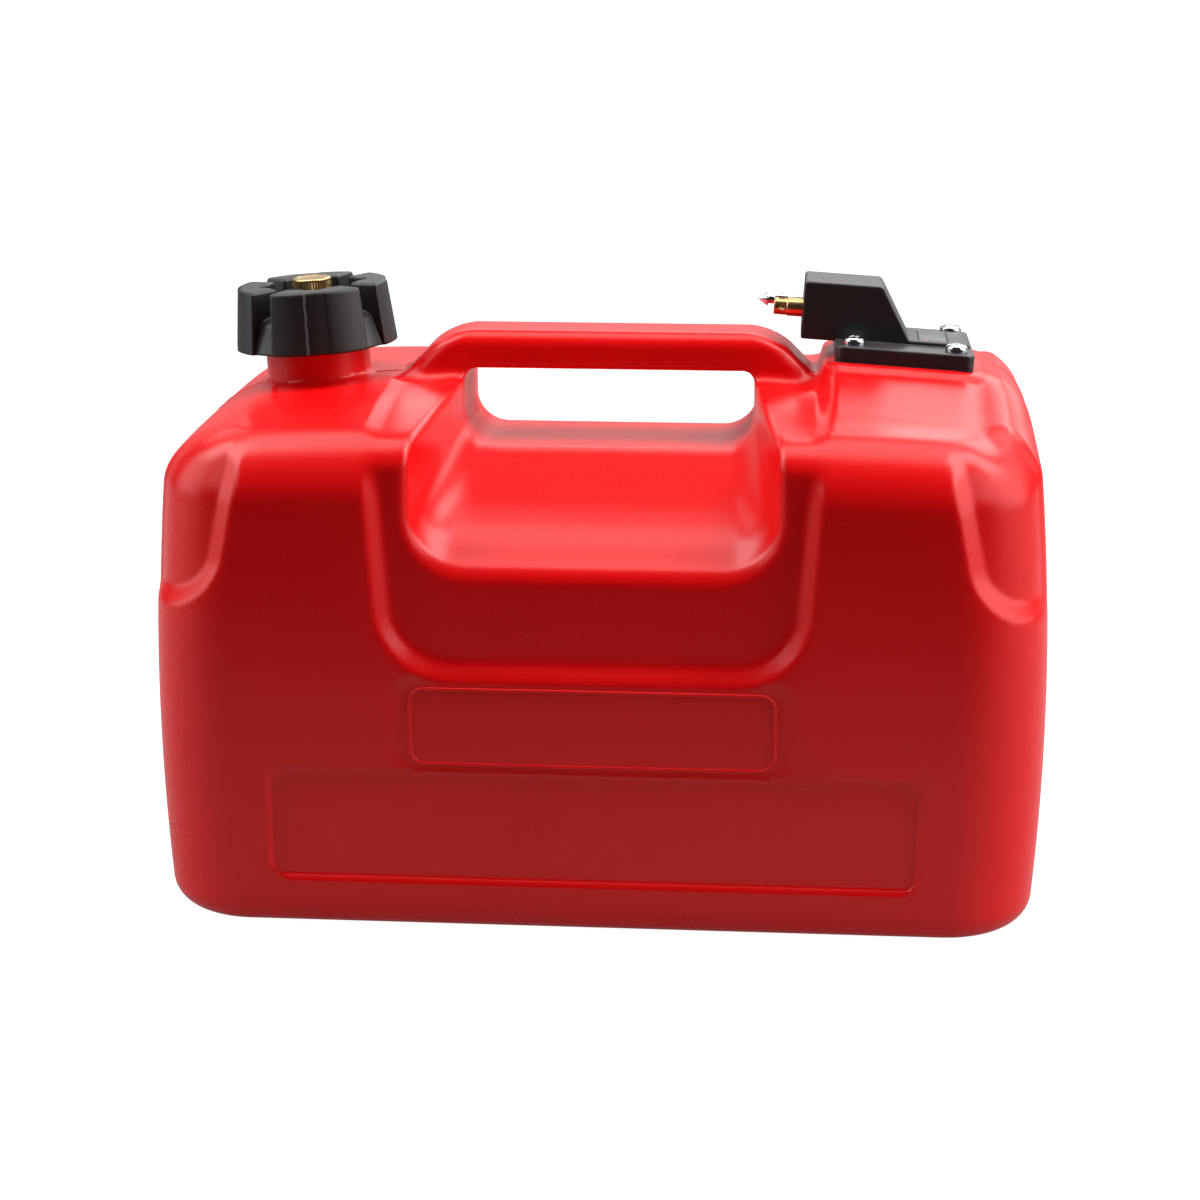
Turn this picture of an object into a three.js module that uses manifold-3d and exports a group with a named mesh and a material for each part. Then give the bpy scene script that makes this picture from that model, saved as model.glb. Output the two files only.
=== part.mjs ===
import * as THREE from "three";
import { mergeVertices } from "three/addons/utils/BufferGeometryUtils.js";
import Module from "manifold-3d";

// Outboard fuel tank: a hollow moulded shell with a carry handle, a filler cap with a vent screw,
// and a float gauge whose hood carries the fuel connector.
// Millimetres. X runs along the tank, Y from its front to its back, Z up from its base.

// Fits and finish
const clearance = 0.3;
const slideFit = 0.4;
const overrun = 6;
const weldDistance = 0.001;

// Counts of steps and sides
const cornerSteps = 5;
const baseSteps = 3;
const shoulderSteps = 5;
const curveSteps = 4;
const neckSides = 36;
const capSides = 48;
const smallSides = 18;
const knurlTeeth = 30;
const stripSteps = 30;

// Tank shell
const tankLength = 370;
const tankWidth = 230;
const wall = 3;
const widestHeight = 85;
const baseTuck = 3.5;
const shoulderLean = 5;
const baseRadius = 11;
const planRadius = 38;
const shoulderHeight = 185;
const shoulderRise = 24.5;
const crownEdgeHeight = shoulderHeight + shoulderRise;
const crownRise = 8.5;
const shoulderLengthRun = 35;
const shoulderWidthRun = 24;
const shoulderPlanRadius = 14;
const sideShares = [0, 0.2, 0.4, 0.65];
const crownShares = [
  { length: 0.86, width: 0.75, rise: 0.42 },
  { length: 0.7, width: 0.5, rise: 0.72 },
  { length: 0.45, width: 0.25, rise: 0.93 },
  { length: 0.2, width: 0.1, rise: 1 },
];

// Carry handle and the scoop that frees the fingers
const handleRise = 16.5;
const handleEndRoom = 92;
const handleSlant = 23;
const handleSlantDrop = 18;
const handleTopHeight = crownEdgeHeight + crownRise + handleRise;
const handleFootHalfLength = tankLength / 2 - handleEndRoom;
const handleFootHeight = handleTopHeight - handleSlantDrop;
const handleTopHalfLength = handleFootHalfLength - handleSlant;
const handleWidth = 34;
const handleBevel = 5;
const handleCornerRadius = 12;
const handleThickness = 16;
const fingerEndInset = 8;
const fingerRoom = 30.5;
const fingerHalfLength = handleTopHalfLength - fingerEndInset;
const fingerTopHeight = handleTopHeight - handleThickness;
const fingerCornerRadius = 5;
const saddleHeight = fingerTopHeight - fingerRoom;
const saddleHalfWidth = 27;
const scoopSpread = 13;
const scoopDrop = 39.5;
const scoopHalfLength = fingerHalfLength + scoopSpread;
const scoopFootHeight = saddleHeight - scoopDrop;
const scoopSaddleRadius = 14;
const scoopFaceRadius = 24;
const scoopShares = [
  { out: 0, down: 0, spread: 0, round: 0 },
  { out: 0.3, down: 0.22, spread: 0.25, round: 0.25 },
  { out: 0.6, down: 0.45, spread: 0.5, round: 0.5 },
  { out: 0.77, down: 0.64, spread: 0.7, round: 0.7 },
  { out: 0.88, down: 0.85, spread: 0.88, round: 0.88 },
  { out: 1, down: 1, spread: 1, round: 1 },
];

// Sunk faces: round the handle, at the corners, and the low panel
const recessDepth = 5.5;
const recessEndDepth = 1;
const recessTopDrop = 1.5;
const recessEdgeDrop = 2;
const recessEdgeRadius = 9;
const recessTopInset = 0.5;
const recessFootInset = 10;
const recessFootDrop = 37;
const recessTopHalfWidth = handleFootHalfLength - recessTopInset;
const recessFootHalfWidth = handleFootHalfLength - recessFootInset;
const recessFootHeight = scoopFootHeight - recessFootDrop;
const recessFootRadius = 26;
const cornerRecessWidth = 44;
const cornerRecessHeight = 137.5;
const cornerRecessInnerWidth = 35;
const cornerRecessShares = [
  { along: 0, up: 1 },
  { along: 0.07, up: 0.78 },
  { along: 0.18, up: 0.43 },
  { along: 0.27, up: 0.18 },
  { along: 0.44, up: 0.03 },
  { along: 1, up: 0 },
];
const panelEndRoom = 52.4;
const panelHalfLength = tankLength / 2 - panelEndRoom;
const panelFoot = 22.7;
const panelHeight = 46.5;
const panelDepth = 1.5;
const panelRadius = 6;

// Filler neck, which leans out a little
const neckEndRoom = 57;
const neckRise = 4.5;
const neckAlong = neckEndRoom - tankLength / 2;
const neckSeat = crownEdgeHeight + neckRise;
const neckLean = -3.5;
const neckRadius = 22.5;
const neckBore = 19.5;
const neckHeight = 21.5;
const neckRoot = 9;
const threadDepth = 1.7;
const threadPitch = 4;
const threadStart = 11;
const threadTurns = 3;
const threadHalfCrest = 0.5;
const threadHalfRoot = 1.2;

// Filler cap
const capTurn = 12.7;
const capFoot = 11.7;
const capFootRadius = 35.3;
const capCrestRadius = 32.5;
const capHeight = 26.6;
const capPlateThickness = 2.6;
const cupFootRadius = 33.6;
const cupRimRadius = 29.5;
const cupShoulder = 2.4;
const lobeCount = 4;
const lobeAngle = 73;
const lobeInnerRadius = 19.5;
const lobeChamfer = 1.6;
const grooveAngle = 17;
const grooveFlank = 2;
const grooveDepth = 1.1;
const pocketAngle = 26;
const pocketDepth = 3.4;
const bossRadius = 11;
const bossHeight = 4.6;
const capGasketThickness = 1.4;
const capGasketWidth = 5.2;

// Vent screw
const ventShankRadius = 4;
const ventShankLength = 13;
const ventTipLength = 2;
const ventHeadRadius = 8.4;
const ventHeadHeight = 8.1;
const ventHeadChamfer = 0.9;
const knurlDepth = 0.35;
const ventSealThickness = 1.3;
const ventSealRadius = 6.8;

// Gauge pad on the tank
const gaugeEndRoom = 60.5;
const gaugeRise = 13.7;
const gaugeAlong = tankLength / 2 - gaugeEndRoom;
const gaugeSeat = crownEdgeHeight + gaugeRise;
const gaugeLean = 3.6;
const padHalfWidth = 37;
const padInnerReach = 34;
const padOuterReach = 37;
const padInnerSpread = 6;
const padOuterSpread = 18;
const padWidthSpread = 7;
const padDepth = 22;
const padRadius = 10;
const padEdge = 2;
const gaugeHoleRadius = 21.5;

// Gauge housing
const gaugeGasketThickness = 1.4;
const plateLength = 58;
const plateWidth = 62;
const plateThickness = 5.8;
const plateRadius = 4;
const stepHalfWidth = 15.5;
const stepHeight = 1.9;
const stepEndInset = 1.5;
const noseReach = 43.9;
const noseHeight = 23.8;
const noseCrest = 11;
const noseFoot = 1.9;
const noseUnderside = 0.8;
const noseWall = 2.5;
const spigotRadius = 20.8;
const spigotWall = 2.4;
const spigotDepth = 6;
const windowAlong = 12.3;
const windowLength = 12.4;
const windowHalfWidth = 12.4;
const windowThickness = 1.2;
const windowRim = 2.5;

// Flange screws and their inserts
const screwHalfLength = 21.4;
const screwHalfWidth = 24;
const screwHeadRadius = 4.7;
const screwHeadHeight = 3.2;
const screwShankRadius = 2.4;
const screwLength = 16;
const crossLength = 4.6;
const crossWidth = 1.1;
const crossDepth = 1.5;
const insertRadius = 4;
const insertLength = 9;
const headShares = [
  { radius: 1, height: 0 },
  { radius: 1, height: 0.3 },
  { radius: 0.88, height: 0.66 },
  { radius: 0.62, height: 0.9 },
  { radius: 0.3, height: 1 },
];

// Connector
const blockRight = 9.9;
const blockHeight = 14.2;
const prongAcross = -7;
const prongHeight = 12;
const prongRadius = 3.9;
const prongReach = 12.3;
const prongTipLength = 5.6;
const prongTipDrop = 0.25;
const prongBore = 2.2;
const prongPort = 1.7;
const prongPortInset = 3.4;
const pinAcross = 8;
const pinHeight = 12.4;
const pinRadius = 3;
const pinGrooveRadius = 2;
const pinReach = 19.4;
const pinConeLength = 4.5;
const pinGrooveLength = 2.6;
const connectorRoot = 5.5;

// Float gauge below the housing
const floatAlong = 8.5;
const frameThickness = 2.6;
const frameDrop = 5;
const rodSpacing = 8.5;
const rodRadius = 1.5;
const rodFloorRoom = 17.2;
const rodLength = gaugeSeat - rodFloorRoom;
const footThickness = 3;
const footRadius = 12;
const floatRadius = 12;
const floatHeight = 24;
const floatBore = 4.2;
const floatTravel = 165;
const keyRadius = 6.4;
const keyThickness = 1.2;
const stripWidth = 6;
const stripThickness = 0.8;
const stripTwist = 150;
const spindleRadius = 1.2;
const pivotRadius = 1;
const pivotLength = 2.4;
const bearingRadius = 3;
const bearingFlange = 4.2;
const bearingFlangeThickness = 0.9;
const dialRadius = 17.6;
const dialThickness = 0.8;
const dialHeight = 2.6;
const pointerLength = 9;
const pointerWidth = 1.6;
const pointerThickness = 0.7;
const pointerHubRadius = 2.3;
const pointerLift = 0.8;

// Pick-up tube
const tubeAlong = -13.5;
const tubeRadius = 3.2;
const tubeBore = 2.2;
const tubeFloorRoom = 17.2;
const tubeDepth = gaugeSeat - tubeFloorRoom;
const strainerRadius = 6;
const strainerHeight = 16;
const strainerSocket = 7;
const strainerWall = 1.5;

const wasm = await Module();
wasm.setup();

const halfTurn = Math.PI;
const degree = THREE.MathUtils.degToRad;

// A closed geometry as a solid that can be joined and cut.
function solid(geometry) {
  const bare = geometry.clone();
  bare.deleteAttribute("normal");
  bare.deleteAttribute("uv");
  const merged = mergeVertices(bare, weldDistance);
  const vertProperties = merged.attributes.position.array;
  const triVerts = new Uint32Array(merged.index.array);
  return new wasm.Manifold(new wasm.Mesh({ numProp: 3, vertProperties, triVerts }));
}

function join(...solids) {
  return solids.reduce((whole, next) => whole.add(next));
}

function cut(body, ...tools) {
  return tools.reduce((rest, tool) => rest.subtract(tool), body);
}

// A solid as a named mesh.
function piece(name, body, material) {
  const data = body.getMesh();
  const geometry = new THREE.BufferGeometry();
  geometry.setAttribute("position", new THREE.BufferAttribute(data.vertProperties, 3));
  geometry.setIndex(new THREE.BufferAttribute(data.triVerts, 1));
  geometry.computeVertexNormals();
  const mesh = new THREE.Mesh(geometry, material);
  mesh.name = name;
  return mesh;
}

// An outline with rounded corners, from corner points that may each have a radius.
function outline(corners) {
  const shape = new THREE.Shape();
  corners.forEach(({ x, y, radius = 0 }, index) => {
    const corner = new THREE.Vector2(x, y);
    const before = corners[(index + corners.length - 1) % corners.length];
    const after = corners[(index + 1) % corners.length];
    const arrive = new THREE.Vector2(before.x, before.y).sub(corner).setLength(radius).add(corner);
    const leave = new THREE.Vector2(after.x, after.y).sub(corner).setLength(radius).add(corner);
    if (index === 0) {
      shape.moveTo(arrive.x, arrive.y);
    } else {
      shape.lineTo(arrive.x, arrive.y);
    }
    if (radius > 0) {
      shape.quadraticCurveTo(corner.x, corner.y, leave.x, leave.y);
    }
  });
  shape.closePath();
  return shape;
}

function rectangle(left, right, low, high, radius = 0) {
  return outline([
    { x: left, y: low, radius },
    { x: right, y: low, radius },
    { x: right, y: high, radius },
    { x: left, y: high, radius },
  ]);
}

// An outline carried straight along Z, with an optional round edge of its own size.
function prism(shape, from, to, bevel = 0) {
  const geometry = new THREE.ExtrudeGeometry(shape, {
    depth: to - from - 2 * bevel,
    curveSegments: curveSteps,
    bevelEnabled: bevel > 0,
    bevelThickness: bevel,
    bevelSize: bevel,
    bevelOffset: -bevel,
    bevelSegments: curveSteps - 1,
  });
  geometry.translate(0, 0, from + bevel);
  return geometry;
}

// The outline lies in X and Z, and is carried along Y.
const acrossTank = new THREE.Matrix4().makeBasis(
  new THREE.Vector3(1, 0, 0),
  new THREE.Vector3(0, 0, 1),
  new THREE.Vector3(0, -1, 0),
);

function prismAcross(shape, from, to, bevel = 0) {
  return prism(shape, -to, -from, bevel).applyMatrix4(acrossTank);
}

// A profile of radius and height turned about Z.
function turned(profile, sides) {
  const points = profile.map(({ radius, height }) => new THREE.Vector2(radius, height));
  return new THREE.LatheGeometry(points, sides).rotateX(halfTurn / 2);
}

function disc(radius, from, to, sides = smallSides) {
  return turned([
    { radius: 0, height: from },
    { radius, height: from },
    { radius, height: to },
    { radius: 0, height: to },
  ], sides);
}

function ringDisc(radius, bore, from, to, sides = smallSides) {
  return turned([
    { radius: bore, height: from },
    { radius, height: from },
    { radius, height: to },
    { radius: bore, height: to },
    { radius: bore, height: from },
  ], sides);
}

// A closed skin over rings of points that all have the same count.
function loft(rings) {
  const count = rings[0].length;
  const positions = [];
  const index = [];
  rings.flat().forEach(point => positions.push(point.x, point.y, point.z));
  for (let level = 0; level + 1 < rings.length; level += 1) {
    for (let step = 0; step < count; step += 1) {
      const next = (step + 1) % count;
      const low = level * count;
      const high = low + count;
      index.push(low + step, low + next, high + next, low + step, high + next, high + step);
    }
  }
  const middleOf = ring => ring.reduce((sum, point) => sum.add(point), new THREE.Vector3())
    .divideScalar(count);
  const foot = middleOf(rings[0]);
  const top = middleOf(rings[rings.length - 1]);
  const footIndex = rings.length * count;
  const last = footIndex - count;
  positions.push(foot.x, foot.y, foot.z, top.x, top.y, top.z);
  for (let step = 0; step < count; step += 1) {
    const next = (step + 1) % count;
    index.push(footIndex, next, step, footIndex + 1, last + step, last + next);
  }
  const geometry = new THREE.BufferGeometry();
  geometry.setAttribute("position", new THREE.Float32BufferAttribute(positions, 3));
  geometry.setIndex(index);
  return geometry;
}

// One level of a body with rounded upright corners; low and high give the radii of its two sides.
function roundedRing(halfLength, low, high, lowRadius, highRadius, level) {
  const corners = [
    { x: halfLength, y: high, radius: highRadius },
    { x: -halfLength, y: high, radius: highRadius },
    { x: -halfLength, y: low, radius: lowRadius },
    { x: halfLength, y: low, radius: lowRadius },
  ];
  return corners.flatMap(({ x, y, radius }, quarter) => {
    const centreX = x - Math.sign(x) * radius;
    const centreY = quarter < 2 ? y - radius : y + radius;
    const points = [];
    for (let step = 0; step <= cornerSteps; step += 1) {
      const angle = (quarter + step / cornerSteps) * halfTurn / 2;
      const reachX = radius * Math.cos(angle);
      const reachY = radius * Math.sin(angle);
      points.push(new THREE.Vector3(centreX + reachX, centreY + reachY, level));
    }
    return points;
  });
}

// The tank's length at a height: drawn in at the base, widest low down, leaning in to the shoulder.
function halfLengthAt(height, halfLength) {
  const below = Math.max(widestHeight - height, 0) / widestHeight;
  const above = Math.max(height - widestHeight, 0) / (shoulderHeight - widestHeight);
  return halfLength - baseTuck * below ** 2 - shoulderLean * Math.min(above, 1) ** 2;
}

// A shell form with a rounded foot, a shoulder and a domed crown, drawn in by an inset all over.
function shellForm(size, inset) {
  const rings = [];
  const addRing = (height, lengthTuck, widthTuck, radius) => {
    const halfLength = halfLengthAt(height, size.halfLength) - inset - lengthTuck;
    const halfWidth = size.halfWidth - inset - widthTuck;
    rings.push(roundedRing(halfLength, -halfWidth, halfWidth, radius, radius, height));
  };
  const footRound = baseRadius - inset;
  const sideRadius = planRadius - inset;
  for (let step = 0; step < baseSteps; step += 1) {
    const angle = step / baseSteps * halfTurn / 2;
    const tuck = footRound * (1 - Math.sin(angle));
    addRing(baseRadius - footRound * Math.cos(angle), tuck, tuck, sideRadius - tuck);
  }
  sideShares.forEach(share => {
    addRing(baseRadius + (size.shoulder - baseRadius) * share, 0, 0, sideRadius);
  });
  const edge = size.edge - inset;
  for (let step = 0; step <= shoulderSteps; step += 1) {
    const angle = step / shoulderSteps * halfTurn / 2;
    const tuck = 1 - Math.cos(angle);
    const height = size.shoulder + (edge - size.shoulder) * Math.sin(angle);
    const radius = sideRadius - (planRadius - shoulderPlanRadius) * tuck;
    addRing(height, size.lengthRun * tuck, size.widthRun * tuck, radius);
  }
  const rim = halfLengthAt(size.shoulder, size.halfLength) - inset - size.lengthRun;
  const side = size.halfWidth - inset - size.widthRun;
  const rimRadius = shoulderPlanRadius - inset;
  crownShares.forEach(({ length, width, rise }) => {
    const radius = rimRadius * width;
    const height = edge + size.rise * rise;
    rings.push(roundedRing(rim * length, -side * width, side * width, radius, radius, height));
  });
  return solid(loft(rings));
}

const outerSize = {
  halfLength: tankLength / 2,
  halfWidth: tankWidth / 2,
  shoulder: shoulderHeight,
  edge: crownEdgeHeight,
  rise: crownRise,
  lengthRun: shoulderLengthRun,
  widthRun: shoulderWidthRun,
};

const coreEdge = crownEdgeHeight - recessEdgeDrop;
const coreSize = {
  halfLength: tankLength / 2 - recessEndDepth,
  halfWidth: tankWidth / 2 - recessDepth,
  shoulder: coreEdge - recessEdgeRadius,
  edge: coreEdge,
  rise: crownRise + recessEdgeDrop - recessTopDrop,
  lengthRun: recessEdgeRadius,
  widthRun: recessEdgeRadius,
};

const farSide = tankWidth / 2 + overrun;
const farEnd = tankLength / 2 + overrun;
const overTop = handleTopHeight + overrun;

// The sunk faces, cut from the full form, on the front and the back.
function sunkFaces(inset) {
  const handleRecess = outline([
    { x: -recessTopHalfWidth - inset, y: overTop },
    { x: -recessFootHalfWidth - inset, y: recessFootHeight - inset, radius: recessFootRadius },
    { x: recessFootHalfWidth + inset, y: recessFootHeight - inset, radius: recessFootRadius },
    { x: recessTopHalfWidth + inset, y: overTop },
  ]);
  const inner = tankLength / 2 - cornerRecessWidth;
  const corner = sign => {
    const points = cornerRecessShares.map(({ along, up }) => ({
      x: sign * (inner + (farEnd - inner) * along - inset),
      y: cornerRecessHeight + (crownEdgeHeight - cornerRecessHeight) * up - inset,
    }));
    const above = [
      { x: sign * farEnd, y: overTop },
      { x: sign * (inner - inset), y: overTop },
    ];
    const around = points.concat(above);
    return outline(sign > 0 ? around : around.reverse());
  };
  const cornerFrom = tankWidth / 2 - cornerRecessInnerWidth - inset;
  const handleFrom = handleWidth / 2 - inset;
  return [-1, 1].flatMap(side => {
    const span = from => (side < 0 ? [-farSide, -from] : [from, farSide]);
    return [
      solid(prismAcross(handleRecess, ...span(handleFrom))),
      solid(prismAcross(corner(-1), ...span(cornerFrom))),
      solid(prismAcross(corner(1), ...span(cornerFrom))),
    ];
  });
}

// The scoop runs from face to face below the handle, deepest at the faces.
function scoop(inset) {
  const faceReach = tankWidth / 2 - saddleHalfWidth;
  const level = ({ out, down, spread, round }, side) => {
    const reach = saddleHalfWidth + faceReach * out;
    const halfLength = fingerHalfLength + (scoopHalfLength - fingerHalfLength) * spread + inset;
    const floor = saddleHeight + (scoopFootHeight - saddleHeight) * down - inset;
    const radius = scoopSaddleRadius + (scoopFaceRadius - scoopSaddleRadius) * round;
    return { halfLength, floor, radius, place: -side * (reach + inset * (1 - out)) };
  };
  const front = scoopShares.map(shares => level(shares, -1));
  const back = scoopShares.map(shares => level(shares, 1)).reverse();
  const pastBack = { ...back[0], place: -farSide };
  const pastFront = { ...front[front.length - 1], place: farSide };
  const rings = [pastBack, ...back, ...front, pastFront].map(({ halfLength, floor, radius, place }) => {
    return roundedRing(halfLength, floor, overTop, radius, fingerCornerRadius, place);
  });
  return solid(loft(rings).applyMatrix4(acrossTank));
}

// The handle stands on the full form and is open below for the fingers.
function handleForm(inset) {
  const half = handleWidth / 2 - inset;
  const bevel = Math.max(handleBevel - inset, 0);
  const arch = outline([
    { x: -handleFootHalfLength + inset, y: coreSize.shoulder },
    { x: handleFootHalfLength - inset, y: coreSize.shoulder },
    { x: handleFootHalfLength - inset, y: handleFootHeight },
    { x: handleTopHalfLength - inset / 2, y: handleTopHeight - inset, radius: handleCornerRadius },
    { x: -handleTopHalfLength + inset / 2, y: handleTopHeight - inset, radius: handleCornerRadius },
    { x: -handleFootHalfLength + inset, y: handleFootHeight },
  ]);
  return solid(prismAcross(arch, -half, half, bevel));
}

function fingerGap(inset) {
  const reach = fingerHalfLength + inset;
  const low = saddleHeight - inset;
  const high = fingerTopHeight + inset;
  const opening = rectangle(-reach, reach, low, high, fingerCornerRadius);
  return solid(prismAcross(opening, -farSide, farSide));
}

// The whole form of the tank without its neck and pad.
function tankForm(inset) {
  const full = shellForm(outerSize, inset);
  const core = shellForm(coreSize, inset).intersect(full);
  const scooped = cut(join(cut(full, ...sunkFaces(inset)), core), cut(scoop(inset), handleForm(inset)));
  return cut(join(scooped, handleForm(inset)), fingerGap(inset));
}

const neckFrame = new THREE.Matrix4()
  .makeRotationY(degree(neckLean))
  .setPosition(neckAlong, 0, neckSeat);
const gaugeFrame = new THREE.Matrix4()
  .makeRotationY(degree(gaugeLean))
  .setPosition(gaugeAlong, 0, gaugeSeat);

function neckForm() {
  const profile = [
    { radius: 0, height: -neckRoot },
    { radius: neckRadius, height: -neckRoot },
  ];
  for (let turn = 0; turn < threadTurns; turn += 1) {
    const middle = threadStart + threadPitch * turn;
    profile.push({ radius: neckRadius, height: middle - threadHalfRoot });
    profile.push({ radius: neckRadius + threadDepth, height: middle - threadHalfCrest });
    profile.push({ radius: neckRadius + threadDepth, height: middle + threadHalfCrest });
    profile.push({ radius: neckRadius, height: middle + threadHalfRoot });
  }
  profile.push({ radius: neckRadius, height: neckHeight });
  profile.push({ radius: 0, height: neckHeight });
  return turned(profile, neckSides).applyMatrix4(neckFrame);
}

// The pad's top is flat under the gauge, and its flanks spread into the shell.
function padForm() {
  const level = (spread, height, radius) => roundedRing(
    (padInnerReach + padOuterReach + (padInnerSpread + padOuterSpread) * spread) / 2,
    -padHalfWidth - padWidthSpread * spread,
    padHalfWidth + padWidthSpread * spread,
    radius,
    radius,
    height,
  ).map(point => {
    const middle = (padOuterReach - padInnerReach + (padOuterSpread - padInnerSpread) * spread) / 2;
    return point.setX(point.x + middle);
  });
  const rimSpread = -padEdge / padWidthSpread;
  const rings = [
    level(1, -padDepth, padRadius),
    level(0, -padEdge, padRadius),
    level(rimSpread, 0, padRadius),
  ];
  return loft(rings).applyMatrix4(gaugeFrame);
}

const screwPlaces = [
  { x: -screwHalfLength, y: -screwHalfWidth },
  { x: screwHalfLength, y: -screwHalfWidth },
  { x: screwHalfLength, y: screwHalfWidth },
  { x: -screwHalfLength, y: screwHalfWidth },
];

function tankBody() {
  const panel = rectangle(-panelHalfLength, panelHalfLength, panelFoot, panelFoot + panelHeight, panelRadius);
  const panelFrom = tankWidth / 2 - panelDepth;
  const seat = padDepth + wall;
  const insertHoles = screwPlaces.map(({ x, y }) => solid(
    disc(insertRadius + clearance, -insertLength - clearance, overrun)
      .translate(x, y, 0)
      .applyMatrix4(gaugeFrame),
  ));
  return cut(
    join(tankForm(0), solid(neckForm()), solid(padForm())),
    tankForm(wall),
    solid(disc(neckBore, -neckRoot - overrun, neckHeight + overrun, neckSides).applyMatrix4(neckFrame)),
    solid(disc(gaugeHoleRadius, -seat, overrun, neckSides).applyMatrix4(gaugeFrame)),
    solid(prismAcross(panel, -farSide, -panelFrom)),
    solid(prismAcross(panel, panelFrom, farSide)),
    ...insertHoles,
  );
}

// Heights in the neck's own frame, counted up from the neck's seat
const gasketFrom = neckHeight + clearance;
const gasketTo = gasketFrom + capGasketThickness;
const plateUnderside = gasketTo + clearance;
const plateTop = plateUnderside + capPlateThickness;
const bossTop = plateTop + bossHeight;
const sealFrom = bossTop + clearance;
const sealTo = sealFrom + ventSealThickness;
const ventHeadFrom = sealTo + clearance;
const capGasketRadius = neckRadius + threadDepth;
const capBore = capGasketRadius + slideFit;

function capLobe(turn) {
  const half = degree(lobeAngle) / 2;
  const groove = degree(grooveAngle) / 2;
  const flank = degree(grooveFlank);
  const pocket = degree(pocketAngle) / 2;
  const level = (outer, inner, inset, height) => {
    const outerSide = [
      [-half, 0],
      [-(half + groove) / 2, 0],
      [-groove - flank, 0],
      [-groove, grooveDepth],
      [0, grooveDepth],
      [groove, grooveDepth],
      [groove + flank, 0],
      [(half + groove) / 2, 0],
      [half, 0],
    ].map(([angle, depth]) => [angle, outer - depth - inset]);
    const innerSide = [
      [half, 0],
      [pocket, 0],
      [pocket / 2, pocketDepth * Math.sin(halfTurn / 3)],
      [0, pocketDepth],
      [-pocket / 2, pocketDepth * Math.sin(halfTurn / 3)],
      [-pocket, 0],
      [-half, 0],
    ].map(([angle, depth]) => [angle, inner + depth + inset]);
    return outerSide.concat(innerSide).map(([angle, radius]) => {
      const trimmed = Math.abs(angle) === half ? angle - Math.sign(angle) * inset / radius : angle;
      const x = radius * Math.sin(trimmed + turn);
      const y = -radius * Math.cos(trimmed + turn);
      return new THREE.Vector3(x, y, height);
    });
  };
  const crest = capFoot + capHeight;
  const slope = (capFootRadius - capCrestRadius) / capHeight;
  return loft([
    level(capFootRadius, lobeInnerRadius, 0, capFoot),
    level(capCrestRadius + slope * lobeChamfer, lobeInnerRadius, 0, crest - lobeChamfer),
    level(capCrestRadius, lobeInnerRadius, lobeChamfer, crest),
  ]);
}

function fillerCap() {
  const cup = turned([
    { radius: 0, height: capFoot },
    { radius: cupFootRadius, height: capFoot },
    { radius: cupRimRadius, height: plateTop - cupShoulder },
    { radius: cupRimRadius - cupShoulder / 3, height: plateTop - cupShoulder / 3 },
    { radius: cupRimRadius - cupShoulder, height: plateTop },
    { radius: bossRadius, height: plateTop },
    { radius: bossRadius, height: bossTop },
    { radius: 0, height: bossTop },
  ], capSides);
  const lobes = [];
  for (let lobe = 0; lobe < lobeCount; lobe += 1) {
    lobes.push(solid(capLobe(degree(capTurn) + 2 * halfTurn * lobe / lobeCount)));
  }
  return cut(
    join(solid(cup), ...lobes),
    solid(disc(capBore, -overrun, plateUnderside, capSides)),
    solid(disc(ventShankRadius + clearance, 0, bossTop + overrun)),
  );
}

function ventScrew() {
  const headTop = ventHeadFrom + ventHeadHeight;
  const shankFoot = ventHeadFrom - ventShankLength;
  const body = turned([
    { radius: 0, height: shankFoot },
    { radius: ventShankRadius / 2, height: shankFoot },
    { radius: ventShankRadius, height: shankFoot + ventTipLength },
    { radius: ventShankRadius, height: ventHeadFrom },
    { radius: ventHeadRadius - knurlDepth, height: ventHeadFrom },
    { radius: ventHeadRadius - knurlDepth, height: headTop - ventHeadChamfer },
    { radius: ventHeadRadius - knurlDepth - ventHeadChamfer, height: headTop },
    { radius: 0, height: headTop },
  ], knurlTeeth);
  const knurl = new THREE.Shape();
  for (let tooth = 0; tooth < 2 * knurlTeeth; tooth += 1) {
    const angle = halfTurn * tooth / knurlTeeth;
    const radius = tooth % 2 ? ventHeadRadius : ventHeadRadius - knurlDepth;
    const x = radius * Math.cos(angle);
    const y = radius * Math.sin(angle);
    if (tooth) {
      knurl.lineTo(x, y);
    } else {
      knurl.moveTo(x, y);
    }
  }
  knurl.closePath();
  const knurlFrom = ventHeadFrom + ventHeadChamfer;
  return join(solid(body), solid(prism(knurl, knurlFrom, headTop - ventHeadChamfer)));
}

// Heights in the gauge's own frame, counted up from the pad's top
const gaugeGasketTo = clearance + gaugeGasketThickness;
const plateFrom = gaugeGasketTo + clearance;
const plateTo = plateFrom + plateThickness;
const stepTo = plateTo + stepHeight;
const housingBore = spigotRadius - spigotWall;
const boreTop = stepTo - windowRim;
const noseFrom = plateTo - noseUnderside;
const noseTo = plateTo + noseHeight;
const cavityFloor = noseFrom + noseWall;
const blockFrom = cavityFloor + clearance;
const prongLevel = plateTo + prongHeight - noseUnderside;
const pinLevel = plateTo + pinHeight - noseUnderside;
const windowTo = stepTo + clearance / 3;
const screwHeadFrom = plateTo + clearance;

function gaugePlate(from, to, bevel) {
  const halfLength = plateLength / 2;
  const halfWidth = plateWidth / 2;
  return prism(rectangle(-halfLength, halfLength, -halfWidth, halfWidth, plateRadius), from, to, bevel);
}

function alongGauge(radius, from, to, across, level) {
  return disc(radius, from, to).rotateY(-halfTurn / 2).translate(0, across, level);
}

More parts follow.
